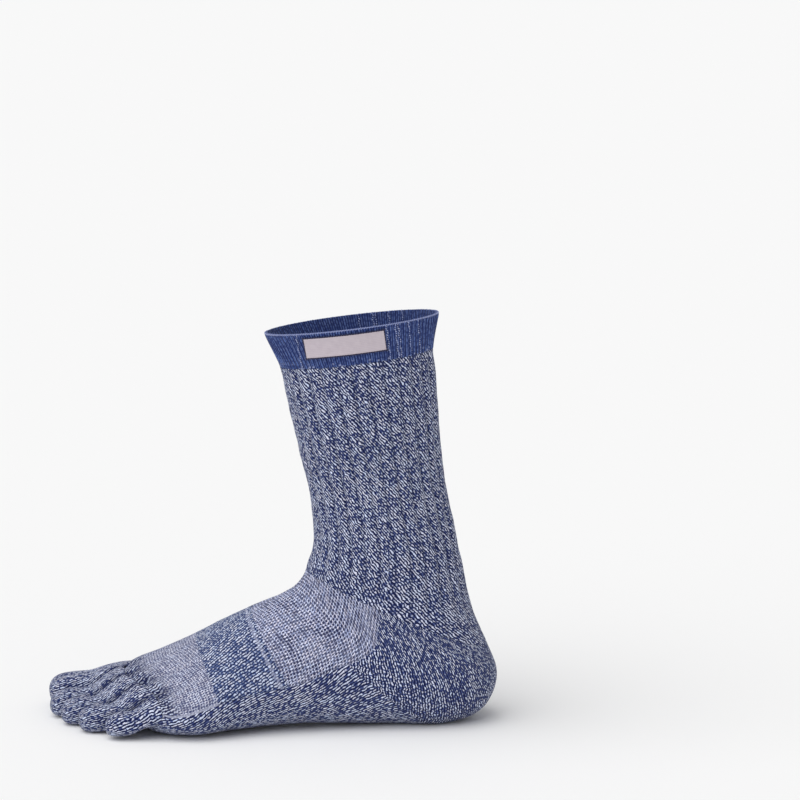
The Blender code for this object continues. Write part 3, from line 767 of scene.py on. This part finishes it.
def cuffMaterial():
    material, tree, shader = newMaterial("cuff_yarn", cuffLook["roughness"])
    look = cuffLook
    place = knitPlace(tree)
    marl = group(tree, marlTree, Place=place, **cuffYarn)
    wale, _, fromRim = axesOf(tree, place)
    inside = calc(tree, "LESS_THAN", fromRim, 0.0)
    rim = calc(tree, "ABSOLUTE", fromRim)
    rim = ramped(tree, rim, look["rimInner"], look["rimOuter"], look["rimShare"], 0.0)
    pitch = cuff["girth"] / cuff["ribs"]
    colour = ribShaded(tree, place, marl["Color"], pitch, look["shadeBetweenRibs"], look["ribShade"])
    # the inside is darker: partly the back of the ribs, partly painted shade in the opening
    colour = mixed(tree, calc(tree, "MULTIPLY", inside, look["backAndShadeShare"]), colour, look["inside"])
    luck = chance(tree, calc(tree, "FLOOR", calc(tree, "DIVIDE", wale, look["speckWide"])),
                  calc(tree, "FLOOR", calc(tree, "DIVIDE", fromRim, look["speckTall"])))
    speck = calc(tree, "MULTIPLY", calc(tree, "GREATER_THAN", luck, look["speckLuck"]),
                 ramped(tree, fromRim, look["speckFrom"], look["speckTo"]))
    colour = mixed(tree, calc(tree, "MULTIPLY", speck, look["speckShare"]), colour, look["speck"])
    colour = mixed(tree, rim, colour, look["rim"])
    finishWith(tree, shader, colour, marl["Height"], look["bump"], look["bumpDepth"])
    return material


labelLook = {
    "roughness": 0.8, "sheen": 0.2, "warp": 0.00032, "weft": 0.00042, "cloudScale": 300.0, "cloud": 0.6,
    # the edge colour is painted shade along the tape's edges
    "weave": 0.4, "dull": paint(184, 172, 182), "bright": paint(220, 210, 216), "edge": paint(128, 116, 134),
    "bump": 0.5, "bumpDepth": 0.0002,
}


def labelMaterial():
    look = labelLook
    material, tree, shader = newMaterial("label_tape", look["roughness"], look["sheen"])
    place = knitPlace(tree)
    x, y, edge = axesOf(tree, place)
    warp = calc(tree, "PINGPONG", calc(tree, "DIVIDE", x, look["warp"]), 1.0)
    weft = calc(tree, "PINGPONG", calc(tree, "DIVIDE", y, look["weft"]), 1.0)
    weave = calc(tree, "MULTIPLY", warp, weft)
    cloud = noisy(tree, flatPlace(tree, place), look["cloudScale"], 3.0)["Fac"]
    share = calc(tree, "MULTIPLY_ADD", cloud, look["cloud"], calc(tree, "MULTIPLY", weave, look["weave"]))
    # the edges of the tape darken: painted shade
    colour = mixed(tree, edge, mixed(tree, share, look["dull"], look["bright"]), look["edge"])
    finishWith(tree, shader, colour, weave, look["bump"], look["bumpDepth"])
    return material


threadLook = {"roughness": 0.8, "sheen": 0.3, "cloudScale": 900.0, "bump": 0.4, "bumpDepth": 0.0002}


def threadMaterial(name, first, second):
    material, tree, shader = newMaterial(name, threadLook["roughness"], threadLook["sheen"])
    place = put(tree, "ShaderNodeTexCoord").outputs["Object"]
    cloud = noisy(tree, place, threadLook["cloudScale"])["Fac"]
    colour = mixed(tree, cloud, first, second)
    finishWith(tree, shader, colour, cloud, threadLook["bump"], threadLook["bumpDepth"])
    return material


materials = {
    "leg": marlMaterial("leg_marl", legYarn, legRibs["girth"] / legRibs["ribs"]),
    "sole": marlMaterial("sole_marl", soleYarn),
    "heel": marlMaterial("heel_marl", heelYarn),
    "toes": marlMaterial("toe_marl", toeYarn),
    "panel": panelMaterial(),
    "cuff": cuffMaterial(),
    "label": labelMaterial(),
    "rim": threadMaterial("rim_thread", paint(112, 124, 172), paint(158, 166, 204)),
    "pale": threadMaterial("pale_thread", paint(134, 146, 192), paint(186, 192, 224)),
    "navy": threadMaterial("navy_thread", paint(22, 22, 50), paint(46, 46, 84)),
}
print("materials built")

# knitted zones

relief = {
    "lumps": 0.00040, "lumpSize": 0.016, "ripple": 0.00018, "rippleSize": 0.0055,
    "seamDip": 0.00045, "seamWidth": 0.0022,
}


def lumpy(points, amount=1.0):
    slow = softNoise(points, relief["lumpSize"], 3) * relief["lumps"]
    fast = softNoise(points, relief["rippleSize"], 7) * relief["ripple"]
    return (slow + fast) * amount


def edgeDip(distance):
    return -relief["seamDip"] * (1 - eased(distance / relief["seamWidth"]))


footKnit = {
    "over": 164, "under": 176, "pitch": 0.00074, "girth": 0.250, "grooveDepth": 0.0022, "grooveWidth": 0.0030,
    "grooveLength": 0.030, "grooveTurn": 0.9, "grooveReach": 0.05, "lumps": 0.8,
}


def storeCreaseShade(piece, folds):
    # painted shade: how deep each outer point sits in a crease, from 0 to 1, for the material to darken by
    values = np.zeros(len(piece.data.vertices), dtype=np.float32)
    values[:folds.size] = folds.ravel()
    piece.data.attributes.new("shadeInCreases", "FLOAT", "POINT").data.foreach_set("value", values)


def grooveDepthAndShade(rings):
    # the clefts between the toes run on a little into the forefoot; the depth both sinks the knit and sets
    # painted shade
    x, y = rings[..., 0], rings[..., 1]
    total = np.zeros(x.shape)
    for across, over, _ in toeRoots[1:-1]:
        root = sock["heelSetback"] - over * sock["footLength"]
        back = y - root
        inward = footKnit["grooveTurn"] * np.clip(back, 0, footKnit["grooveReach"])
        middle = across * sock["ballWidth"] * (1 - inward)
        depth = np.exp(-((x - middle) / footKnit["grooveWidth"]) ** 2)
        total += depth * (1 - eased(back / footKnit["grooveLength"]))
    return np.minimum(total, 1.0)


# zones of the foot: where each starts and ends, its side, wall and yarn
instepPanel = {"from": "roots", "to": "panelEnd", "onTop": True, "wall": 0.0020, "yarn": "panel"}
soleTerry = {"from": "roots", "to": "soleEnd", "onTop": False, "wall": 0.0030, "yarn": "sole"}
heelTerry = {"from": "soleEnd", "to": "panelEnd", "onTop": False, "wall": 0.0030, "yarn": "heel"}


def patchPiece(name, zone, node):
    over, whole = footKnit["over"], footKnit["over"] + footKnit["under"]
    start, end, side = (0, over, overSide) if zone["onTop"] else (over, whole, underSide)
    places = evenPlaces(placeOf[zone["from"]], placeOf[zone["to"]], footKnit["pitch"], side)
    rings, normals = loft(places, footKnit["over"], footKnit["under"])
    columns = [index % whole for index in range(start, end + 1)]
    base, facing = rings[:, columns], normals[:, columns]
    columnLength = travelledAlong(np.swapaxes(base, 0, 1)).T
    fromSides = np.minimum(columnLength, columnLength[:, -1:] - columnLength)
    rise = lumpy(base, footKnit["lumps"]) + edgeDip(fromSides)
    if zone["onTop"]:
        rise = rise - grooveDepthAndShade(base) * footKnit["grooveDepth"]
    outer = base + facing * rise[..., None]
    inner = (base - facing * zone["wall"])[::2, ::2]
    wale = np.linspace(start, end, len(columns))[None, :] / whole * footKnit["girth"]
    course = travelledAlong(base)
    piece = wallPiece(name, outer, inner, wale, course, places[:, None], materials[zone["yarn"]])
    # the toe grooves also go on the instep as painted shade
    if zone["onTop"]:
        storeCreaseShade(piece, grooveDepthAndShade(base))
    dress(piece, node)


patchPiece("instep_mesh_panel", instepPanel, "instep")
patchPiece("sole_terry", soleTerry, "sole")
patchPiece("heel_terry", heelTerry, "heel")


def legPiece():
    places = evenPlaces(placeOf["panelEnd"], placeOf["cuff"], legRibs["pitch"], wholeRing)
    half = legRibs["ribs"] * legRibs["columnsPerRib"] // 2
    rings, normals = loft(places, half, half)
    # rounds off the bend above the instep, most where the rows crowd together
    gap = np.linalg.norm(rings[2:] - rings[:-2], axis=2)
    crowded = np.clip(legRibs["bendCrowd"] / gap * 2, 0, 1) ** 2
    low = 1 - eased((places[1:-1] - legRibs["bendFrom"]) / legRibs["bendOver"])
    soften = 0.5 * crowded[..., None] * low[:, None, None]
    for _ in range(legRibs["bendRounds"]):
        rings[1:-1] += soften * ((rings[:-2] + rings[2:]) / 2 - rings[1:-1])
    column = np.arange(2 * half)
    ridge = np.abs(np.cos(math.pi * column / legRibs["columnsPerRib"])) ** legRibs["sharpness"]
    ridge = ridge - legRibs["sink"]
    fadeIn = eased((places - placeOf["panelEnd"]) / legRibs["fadeIn"])
    fadeOut = 1 - legRibs["fadeShare"] * eased((places - legRibs["fadeFrom"]) / legRibs["fadeOver"])
    uneven = softNoise(rings * (1.0, 1.0, legRibs["stretch"]), legRibs["unevenSize"], 17)
    uneven = legRibs["evenest"] + legRibs["unevenness"] * uneven
    fromFoot = travelledAlong(rings)
    rise = ridge[None, :] * (fadeIn * fadeOut)[:, None] * legRibs["ribHeight"] * uneven + lumpy(rings)
    rise = rise + edgeDip(fromFoot) * legRibs["seamShare"]
    outer = rings + normals * rise[..., None]
    inner = (rings - normals * legRibs["wall"])[::2, ::2]
    wale = column[None, :] / (2 * half) * legRibs["girth"]
    course = fromFoot - fromFoot[-1:] + legRibs["lastCourse"]       # level courses at the cuff
    piece = wallPiece("leg_rib", outer, inner, wale, course, places[:, None], materials["leg"],
                      closed=True, around=legRibs["girth"])
    dress(piece, "leg")


legPiece()


def cuffPiece():
    half = cuff["ribs"] * cuff["columnsPerRib"] // 2
    radius = cuff["rimWall"] / 2
    rimPlace = placeOf["rim"] - radius / sock["cuffHeight"]
    rows = []       # place, depth into the wall, share of the rib
    for share in np.linspace(0, 1, cuff["outerRows"]):
        rib = 1.0 - cuff["flattened"] * eased((share - cuff["flattenFrom"]) * 10)
        rows.append((placeOf["cuff"] + share * (rimPlace - placeOf["cuff"]), 0.0, rib))
    for turn in np.linspace(0, math.pi, cuff["rimRows"])[1:-1]:
        beyond, depth = radius * math.sin(turn) / sock["cuffHeight"], radius * (1 - math.cos(turn))
        rows.append((rimPlace + beyond, depth, cuff["rimRib"]))
    for share in np.linspace(1, 0, cuff["innerRows"]):
        depth = cuff["rimWall"] + (cuff["wall"] - cuff["rimWall"]) * (1 - share)
        rows.append((placeOf["cuff"] + share * (rimPlace - placeOf["cuff"]), depth, cuff["innerRib"]))
    rows = np.array(rows)
    rings, normals = loft(rows[:, 0], half, half)
    column = np.arange(2 * half)
    ridge = np.cos(2 * math.pi * column / cuff["columnsPerRib"])[None, :] * 0.5
    rise = ridge * rows[:, 2:] * cuff["ribHeight"] - rows[:, 1:2]
    rise = rise + lumpy(rings, cuff["lumps"]) * (rows[:, 1:2] < 1e-6)
    grid = rings + normals * rise[..., None]
    count, columns = grid.shape[:2]
    faces = quads(lambda row, c: (row % count) * columns + c, count + 1, columns, True)
    kinds = [0] * len(faces)
    travelled = travelledAlong(grid)
    fromRim = np.abs(placeOf["rim"] - rows[:, 0:1]) * sock["cuffHeight"] + 0.00001
    fromRim = fromRim * np.where(rows[:, 1:2] > cuff["rimWall"] * 0.6, -1.0, 1.0) * np.ones(columns)
    wale = column[None, :] / (2 * half) * cuff["girth"] * np.ones((count, 1))
    knit = np.stack([part.ravel() for part in (wale, travelled, fromRim)], axis=1)
    share = np.arange(count)[:, None] / (count - 1) * np.ones(columns)
    shares = np.stack(((wale / cuff["girth"]).ravel(), share.ravel(), np.zeros(count * columns)), axis=1)
    piece = knitPiece("cuff_rib", grid.reshape(-1, 3), faces, kinds, knit, shares, cuff["girth"],
                      materials["cuff"])
    dress(piece, "cuff")


cuffPiece()

# toe pockets

toe = {
    "columns": 104, "pitch": 0.00068, "wall": 0.0018, "squareness": 0.86, "bend": 1.2, "blend": 0.55,
    "shadeReach": 0.0055, "lastTurn": 6.97, "tipTurn": 7.0, "calmRoot": 0.004, "knobs": 0.0003, "knobSize": 0.009,
    "cutPoints": 60,
}


def cellOutline(low, high, inset):
    points, _ = denseSection(0.0)
    outline = points[:-1][:, (0, 2)]
    around = acrossEach(outline)
    inward = unit(np.stack((-around[:, 1], around[:, 0]), axis=1))
    inward *= math.copysign(1.0, np.sum(inward * (outline.mean(axis=0) - outline)))
    outline = outline + inward * inset
    parts = [outline[(outline[:, 0] > low) & (outline[:, 0] < high)]]
    centreZ = outline[:, 1].mean()
    for x in (low, high):
        if outline[:, 0].min() < x < outline[:, 0].max():
            crossing = []
            for half in (outline[outline[:, 1] > centreZ], outline[outline[:, 1] <= centreZ]):
                order = np.argsort(half[:, 0])
                crossing.append(np.interp(x, half[order, 0], half[order, 1]))
            heights = np.linspace(crossing[0], crossing[1], toe["cutPoints"])
            parts.append(np.stack((np.full(toe["cutPoints"], x), heights), axis=1))
    return np.concatenate(parts)


def toeGrid(index, inset, angles, turns):
    _, tip, tipX, girth, height, lift = toeSections[index]
    low, high = (toeRoots[index + side][0] * sock["ballWidth"] for side in (0, 1))
    edge = sock["seam"] + inset
    outline = cellOutline(
        -sock["ballWidth"] if index == 0 else low + edge,
        sock["ballWidth"] if index == len(toeSections) - 1 else high - edge, inset,
    )
    points, _ = denseSection(0.0)
    centre = np.array(((low + high) / 2, points[:, 2].mean()))
    polar = np.arctan2(outline[:, 1] - centre[1], outline[:, 0] - centre[0])
    radius = np.linalg.norm(outline - centre, axis=1)
    order = np.argsort(polar)
    reach = np.interp(angles, polar[order], radius[order], period=2 * math.pi)
    rootX = centre[0] + reach * np.cos(angles)
    rootZ = centre[1] + reach * np.sin(angles)
    topZ, lowZ = sections[0, 1], sections[0, 3]
    rootY = sock["heelSetback"] - rootLine(rootX, (rootZ - lowZ) / (topZ - lowZ)) - sock["seam"]
    tipY = sock["heelSetback"] - tip * sock["footLength"] + inset
    cosine, sine = np.cos(angles), np.sin(angles)
    rows = []
    for turn in turns:
        share, width, top, under = between(toeProfile, turn)
        width = max(width, 0.0)
        half = max(width * girth * sock["ballWidth"] - inset * min(1.0, 2 * width), 0.0)
        liftZ = lift * sock["ankleHeight"]
        tall = height * sock["ankleHeight"] - liftZ
        highZ = liftZ + top * tall - inset * min(1.0, 3 * width)
        bottomZ = liftZ + under * tall + inset * min(1.0, 3 * width)
        bend = eased(share * toe["bend"])
        middle = tipX * sock["ballWidth"] * bend + centre[0] * (1 - bend)
        x = middle + half * np.sign(cosine) * np.abs(cosine) ** toe["squareness"]
        z = (highZ + bottomZ) / 2
        z = z + (highZ - bottomZ) / 2 * np.sign(sine) * np.abs(sine) ** toe["squareness"]
        blend = eased(share / toe["blend"])
        x = (1 - blend) * (rootX + middle - centre[0]) + blend * x
        z = (1 - blend) * rootZ + blend * z
        y = (1 - share) * rootY + share * tipY
        rows.append(np.stack((x, y, z - sock["underside"]), axis=1))
    return np.array(rows)


def neighbourToeShade(outer, index, angles, turns):
    # painted shade near a neighbouring toe, from 1 close by to 0 a short way off
    beside = [other for other in (index - 1, index + 1) if 0 <= other < len(toeSections)]
    points = np.concatenate([toeGrid(other, 0.0, angles[::4], turns).reshape(-1, 3) for other in beside])
    tree = KDTree(len(points))
    for number, point in enumerate(points):
        tree.insert(point, number)
    tree.balance()
    distance = np.array([tree.find(point)[2] for point in outer.reshape(-1, 3)]).reshape(outer.shape[:2])
    return 1 - eased(distance / toe["shadeReach"])


def toePiece(index):
    name = toeSections[index][0]
    angles = np.arange(toe["columns"]) * 2 * math.pi / toe["columns"] - math.pi
    coarse = np.linspace(0, toe["lastTurn"], trial["stops"])
    shape = toeGrid(index, 0.0, angles[::8], coarse)
    turns = evenStops(coarse, np.linalg.norm(np.diff(shape, axis=0), axis=2).max(axis=1), toe["pitch"])
    outer = toeGrid(index, 0.0, angles, turns)
    normals = facingOut(unit(np.cross(acrossEach(outer, 1), np.gradient(outer, axis=0))), outer)
    along = travelledAlong(outer)
    rise = lumpy(outer) + softNoise(outer, toe["knobSize"], 23) * toe["knobs"]
    rise = rise * eased(along / toe["calmRoot"])
    tips = [toeGrid(index, inset, angles, (toe["tipTurn"],))[0].mean(axis=0) for inset in (0.0, toe["wall"])]
    outer = outer + normals * rise[..., None]
    inner = toeGrid(index, toe["wall"], angles, turns)[::2, ::2]
    loop = np.concatenate((outer, outer[:, :1]), axis=1)
    stepped = travelledAlong(loop.transpose(1, 0, 2)).T
    girth = float(stepped[:, -1].max())
    wale = stepped[:, :-1] / stepped[:, -1:] * girth
    piece = wallPiece(name + "_pocket", outer, inner, wale, along, np.zeros((1, 1)), materials["toes"],
                      closed=True, tips=np.array(tips), around=girth)
    # the toe pockets take painted shade where they lie near the next toe
    storeCreaseShade(piece, neighbourToeShade(outer, index, angles, coarse[::2]))
    dress(piece, name)


for index in range(len(toeSections)):
    toePiece(index)
print("knitted zones done")

# woven label, left bare

label = {
    "length": 0.0445, "height": 0.0102, "thickness": 0.0008, "drop": 0.0034, "shift": -0.0062, "gap": 0.0003,
    "columns": 120, "rows": 28, "wave": 0.00012, "waveSize": 0.007, "rounding": 0.0005, "roundShare": 0.45,
    "hemFrom": 0.0009, "hemOver": 0.0004, "hemDip": 0.00012, "edgeShadeWidth": 0.0004,
}


def onCuff(offsets, drops, inside=False):
    # points on the outer side of the cuff, or across the opening on its inner face, and which way they face
    grids = []
    for drop in drops:
        place = placeOf["rim"] - drop / sock["cuffHeight"]
        line = denseSection(place)[0]
        along = denseSection(place + nudge)[0] - denseSection(place - nudge)[0]
        normal = unit(np.cross(acrossEach(line), along))
        normal *= math.copysign(1.0, np.sum(normal[:, 0] * line[:, 0]))
        travelled = runOf(line)
        if inside:
            stops = (travelled[np.argmin(line[:, 0])] + offsets) % travelled[-1]
            line, normal = line - normal * cuff["wall"], -normal
        else:
            stops = (travelled[np.argmax(line[:, 0])] - offsets) % travelled[-1]
        grids.append(np.stack([np.interp(stops, travelled, axis) for axis in (*line.T, *normal.T)], axis=1))
    grid = np.array(grids)
    return grid[..., :3] - (0.0, 0.0, sock["underside"]), unit(grid[..., 3:])


def labelPiece():
    across = np.linspace(-0.5, 0.5, label["columns"] + 1) * label["length"]
    up = np.linspace(0, 1, label["rows"] + 1)
    points, facing = onCuff(across + label["shift"], label["drop"] + (1 - up) * label["height"])
    fromEdge = np.minimum(label["length"] / 2 - np.abs(across)[None, :],
                          (label["height"] * np.minimum(up, 1 - up))[:, None])
    rounding = 1 - label["roundShare"] + label["roundShare"] * eased(fromEdge / label["rounding"])
    hem = eased((fromEdge - label["hemFrom"]) / label["hemOver"])
    lift = label["gap"] + label["thickness"] * rounding - label["hemDip"] * hem
    lift = lift + label["wave"] * softNoise(points, label["waveSize"], 41)
    outer = points + facing * lift[..., None]
    inner = (points + facing * label["gap"])[::2, ::2]
    # painted shade along the tape's edges, from 1 at the edge to 0 inside
    edge = 1 - eased(fromEdge / label["edgeShadeWidth"])
    piece = wallPiece("woven_label", outer, inner, across[None, :], (up * label["height"])[:, None], edge,
                      materials["label"])
    dress(piece, "label")


labelPiece()

# stitches that follow a line


def stitchTree():
    tree = bpy.data.node_groups.new("stitchLine", "GeometryNodeTree")
    face = tree.interface
    face.new_socket(name="Line", in_out="INPUT", socket_type="NodeSocketGeometry")
    for title, value in (("Spacing", 0.002), ("Length", 0.0014), ("Width", 0.0005), ("Height", 0.0004),
                          ("Lean", 0.0), ("Unevenness", 0.15)):
        face.new_socket(name=title, in_out="INPUT", socket_type="NodeSocketFloat").default_value = value
    face.new_socket(name="Seed", in_out="INPUT", socket_type="NodeSocketInt").default_value = 1
    face.new_socket(name="Yarn", in_out="INPUT", socket_type="NodeSocketMaterial")
    face.new_socket(name="Stitches", in_out="OUTPUT", socket_type="NodeSocketGeometry")
    given = tree.nodes.new("NodeGroupInput").outputs
    out = tree.nodes.new("NodeGroupOutput").inputs
    curve = firstOut(tree, "GeometryNodeMeshToCurve", {"Mesh": given["Line"]})
    even = firstOut(tree, "GeometryNodeResampleCurve", {"Curve": curve, "Length": given["Spacing"]},
                    mode="LENGTH")
    tangent = firstOut(tree, "GeometryNodeInputTangent")
    facing = firstOut(tree, "GeometryNodeInputNamedAttribute", {"Name": "facing"}, data_type="FLOAT_VECTOR")
    turn = firstOut(tree, "FunctionNodeAlignRotationToVector", {"Vector": tangent}, axis="X")
    turn = firstOut(tree, "FunctionNodeAlignRotationToVector", {"Rotation": turn, "Vector": facing},
                    axis="Z", pivot_axis="X")
    low = calc(tree, "MULTIPLY", given["Unevenness"], -1.0)
    jitter = put(tree, "FunctionNodeRandomValue", {2: low, 3: given["Unevenness"], "Seed": given["Seed"]},
                 data_type="FLOAT").outputs[1]
    angle = calc(tree, "ADD", given["Lean"], jitter)
    spin = firstOut(tree, "FunctionNodeAxisAngleToRotation", {"Axis": (0.0, 0.0, 1.0), "Angle": angle})
    turn = firstOut(tree, "FunctionNodeRotateRotation", {0: turn, 1: spin}, rotation_space="LOCAL")
    halves = [calc(tree, "MULTIPLY", given[key], 0.5) for key in ("Length", "Width", "Height")]
    size = firstOut(tree, "ShaderNodeCombineXYZ", dict(enumerate(halves)))
    size = vectorCalc(tree, "SCALE", size, calc(tree, "ADD", jitter, 1.0))
    shape = firstOut(tree, "GeometryNodeMeshUVSphere", {"Segments": 8, "Rings": 5, "Radius": 1.0})
    copies = {"Points": even, "Instance": shape, "Rotation": turn, "Scale": size}
    placed = firstOut(tree, "GeometryNodeInstanceOnPoints", copies)
    solid = firstOut(tree, "GeometryNodeRealizeInstances", {0: placed})
    solid = firstOut(tree, "GeometryNodeSetShadeSmooth", {0: solid})
    solid = firstOut(tree, "GeometryNodeSetMaterial", {0: solid, "Material": given["Yarn"]})
    tree.links.new(solid, out[0])
    return tree


stitchLine = stitchTree()


def sew(name, lines, values, material):
    # lines: pairs of points and facings, each sewn from end to end
    vertices, facings, edges = [], [], []
    for points, facing, closed in lines:
        start = len(vertices)
        vertices += points.tolist()
        facings += facing.tolist()
        edges += [(start + i, start + i + 1) for i in range(len(points) - 1)]
        if closed:
            edges.append((start + len(points) - 1, start))
    mesh = bpy.data.meshes.new(name)
    mesh.from_pydata(vertices, edges, [])
    attribute = mesh.attributes.new("facing", "FLOAT_VECTOR", "POINT")
    attribute.data.foreach_set("vector", np.array(facings, dtype=np.float32).ravel())
    path = newObject(name + "_path", mesh)
    modifier = path.modifiers.new("stitches", "NODES")
    modifier.node_group = stitchLine
    items = stitchLine.interface.items_tree
    sockets = {item.name: item.identifier for item in items if item.in_out == "INPUT"}
    for key, value in values.items():
        modifier[sockets[key]] = value
    modifier[sockets["Yarn"]] = material
    bpy.context.view_layer.update()
    graph = bpy.context.evaluated_depsgraph_get()
    made = bpy.data.meshes.new_from_object(path.evaluated_get(graph), preserve_all_data_layers=False,
                                           depsgraph=graph)
    path.modifiers.remove(modifier)
    bpy.data.objects.remove(path, do_unlink=True)
    made.name = name
    made.materials.clear()
    made.materials.append(material)
    piece = newObject(name, made)
    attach(piece, "root")
    print("sewn", name, len(made.polygons), "faces")


rimStitch = {
    "Spacing": 0.0015, "Length": 0.0019, "Width": 0.00055, "Height": 0.0005, "Lean": 0.35, "Unevenness": 0.12,
    "Seed": 2,
}
rimSeam = {"below": 0.35, "steps": 240, "nudge": 0.05, "outward": 0.75, "upward": 0.65, "sunk": 0.00012}


def rimLine():
    place = placeOf["rim"] - cuff["rimWall"] / 2 * rimSeam["below"] / sock["cuffHeight"]
    steps = rimSeam["steps"]
    rings, normals = loft((place,), steps, steps)
    upward = unit(rings[0] - ringAt(place - rimSeam["nudge"], steps, steps))
    facing = unit(normals[0] * rimSeam["outward"] + upward * rimSeam["upward"])
    return [(rings[0] - normals[0] * rimSeam["sunk"], facing, True)]


sew("rim_edge_stitches", rimLine(), rimStitch, materials["rim"])

stripeStitch = {
    "Spacing": 0.00125, "Length": 0.0011, "Width": 0.00055, "Height": 0.00034, "Lean": 0.5, "Unevenness": 0.3,
    "Seed": 9,
}
stripes = {
    "outer": (-0.0330, 0.0178, 0.0229, 0.0247, 0.0314, 0.0384),     # along the cuff from its outer side
    "inner": (0.0050, 0.0133, 0.0150, 0.0232, 0.0325),              # the same, across the opening
    "top": 0.0014, "outerEnd": 0.0188, "innerEnd": 0.0180, "points": 24, "lift": 0.0002,
    "wander": 0.00035, "waves": 0.9, "waveShift": 900,
}


def stripeLines(offsets, inside, deepest):
    lines = []
    drops = np.linspace(stripes["top"], deepest, stripes["points"])
    for offset in offsets:
        phase = np.arange(stripes["points"]) * stripes["waves"] + offset * stripes["waveShift"]
        wander = stripes["wander"] * np.sin(phase)
        spots = [onCuff(np.array((offset + shift,)), (drop,), inside) for shift, drop in zip(wander, drops)]
        points, facing = (np.array([spot[part][0, 0] for spot in spots]) for part in (0, 1))
        lines.append((points + facing * stripes["lift"], facing, False))
    return lines


outerLines = stripeLines(stripes["outer"], False, stripes["outerEnd"])
innerLines = stripeLines(stripes["inner"], True, stripes["innerEnd"])
sew("cuff_pale_stripes", outerLines, stripeStitch, materials["pale"])
sew("cuff_inner_stripes", innerLines, stripeStitch, materials["rim"])

labelStitch = {
    "Spacing": 0.0014, "Length": 0.0018, "Width": 0.0009, "Height": 0.0005, "Lean": 0.1, "Unevenness": 0.12,
    "Seed": 4,
}
labelSeam = {"outside": 0.0001, "lift": 0.7, "longPoints": 60, "shortPoints": 12}


def labelLines():
    half = label["length"] / 2 + labelSeam["outside"]
    low, high = label["drop"] - labelSeam["outside"], label["drop"] + label["height"] + labelSeam["outside"]
    lift = label["gap"] + label["thickness"] * labelSeam["lift"]
    lines = []
    for drop in (low, high):
        points, facing = onCuff(np.linspace(-half, half, labelSeam["longPoints"]) + label["shift"], (drop,))
        lines.append((points[0] + facing[0] * lift, facing[0], False))
    for offset in (-half, half):
        drops = np.linspace(low, high, labelSeam["shortPoints"])
        points, facing = onCuff(np.array((offset + label["shift"],)), drops)
        lines.append((points[:, 0] + facing[:, 0] * lift, facing[:, 0], False))
    return lines


sew("label_edge_stitches", labelLines(), labelStitch, materials["navy"])
print("stitches done")

# floor, light and camera

studio = {
    "floor": (0.93, 0.93, 0.93), "floorRoughness": 0.8, "floorReach": 40.0, "floorGap": 0.0001,
    "world": (1.0, 1.0, 1.0), "worldStrength": 0.50,
    "key": 1.95, "keyFrom": (0.75, -0.95, 1.75), "keySoftness": math.radians(75),
}


def aimed(thing, place, target):
    direction = np.array(target) - np.array(place)
    thing.location = place
    thing.rotation_euler = Vector(direction).to_track_quat("-Z", "Y").to_euler()


def softLight(name, power, place, softness):
    data = bpy.data.lights.new(name, "SUN")
    data.energy, data.angle = power, softness
    aimed(newObject(name, data), place, (0.0, 0.0, 0.0))


def studioAround():
    mesh = bpy.data.meshes.new("floor")
    reach, low = studio["floorReach"], -sock["underside"] - studio["floorGap"]
    corners = ((-reach, -reach), (reach, -reach), (reach, reach), (-reach, reach))
    mesh.from_pydata([(x, y, low) for x, y in corners], [], [(0, 1, 2, 3)])
    material = bpy.data.materials.new("floor_paper")
    material.use_nodes = True
    shader = material.node_tree.nodes["Principled BSDF"]
    shader.inputs["Base Color"].default_value = (*studio["floor"], 1.0)
    shader.inputs["Roughness"].default_value = studio["floorRoughness"]
    shader.inputs["Specular IOR Level"].default_value = 0.0
    mesh.materials.append(material)
    floor = newObject("floor", mesh)
    world = bpy.data.worlds.new("studio")
    world.use_nodes = True
    background = world.node_tree.nodes["Background"]
    background.inputs[0].default_value = (*studio["world"], 1.0)
    background.inputs[1].default_value = studio["worldStrength"]
    bpy.context.scene.world = world
    softLight("key", studio["key"], studio["keyFrom"], studio["keySoftness"])
    bpy.context.scene.view_settings.view_transform = "Standard"


camera = {
    "azimuth": 87.54, "elevation": 8.96, "distance": 1.693, "target": (0.0, 0.006, 0.177), "lens": 138.39,
    "sensor": 36.0,
}


def cameraAt():
    azimuth, elevation = math.radians(camera["azimuth"]), math.radians(camera["elevation"])
    flat = math.cos(elevation)
    away = np.array((math.sin(azimuth) * flat, -math.cos(azimuth) * flat, math.sin(elevation)))
    data = bpy.data.cameras.new("camera")
    data.lens, data.sensor_width = camera["lens"], camera["sensor"]
    made = newObject("camera", data)
    aimed(made, tuple(np.array(camera["target"]) + away * camera["distance"]), camera["target"])
    bpy.context.scene.camera = made


studioAround()
cameraAt()
print("studio and camera ready")
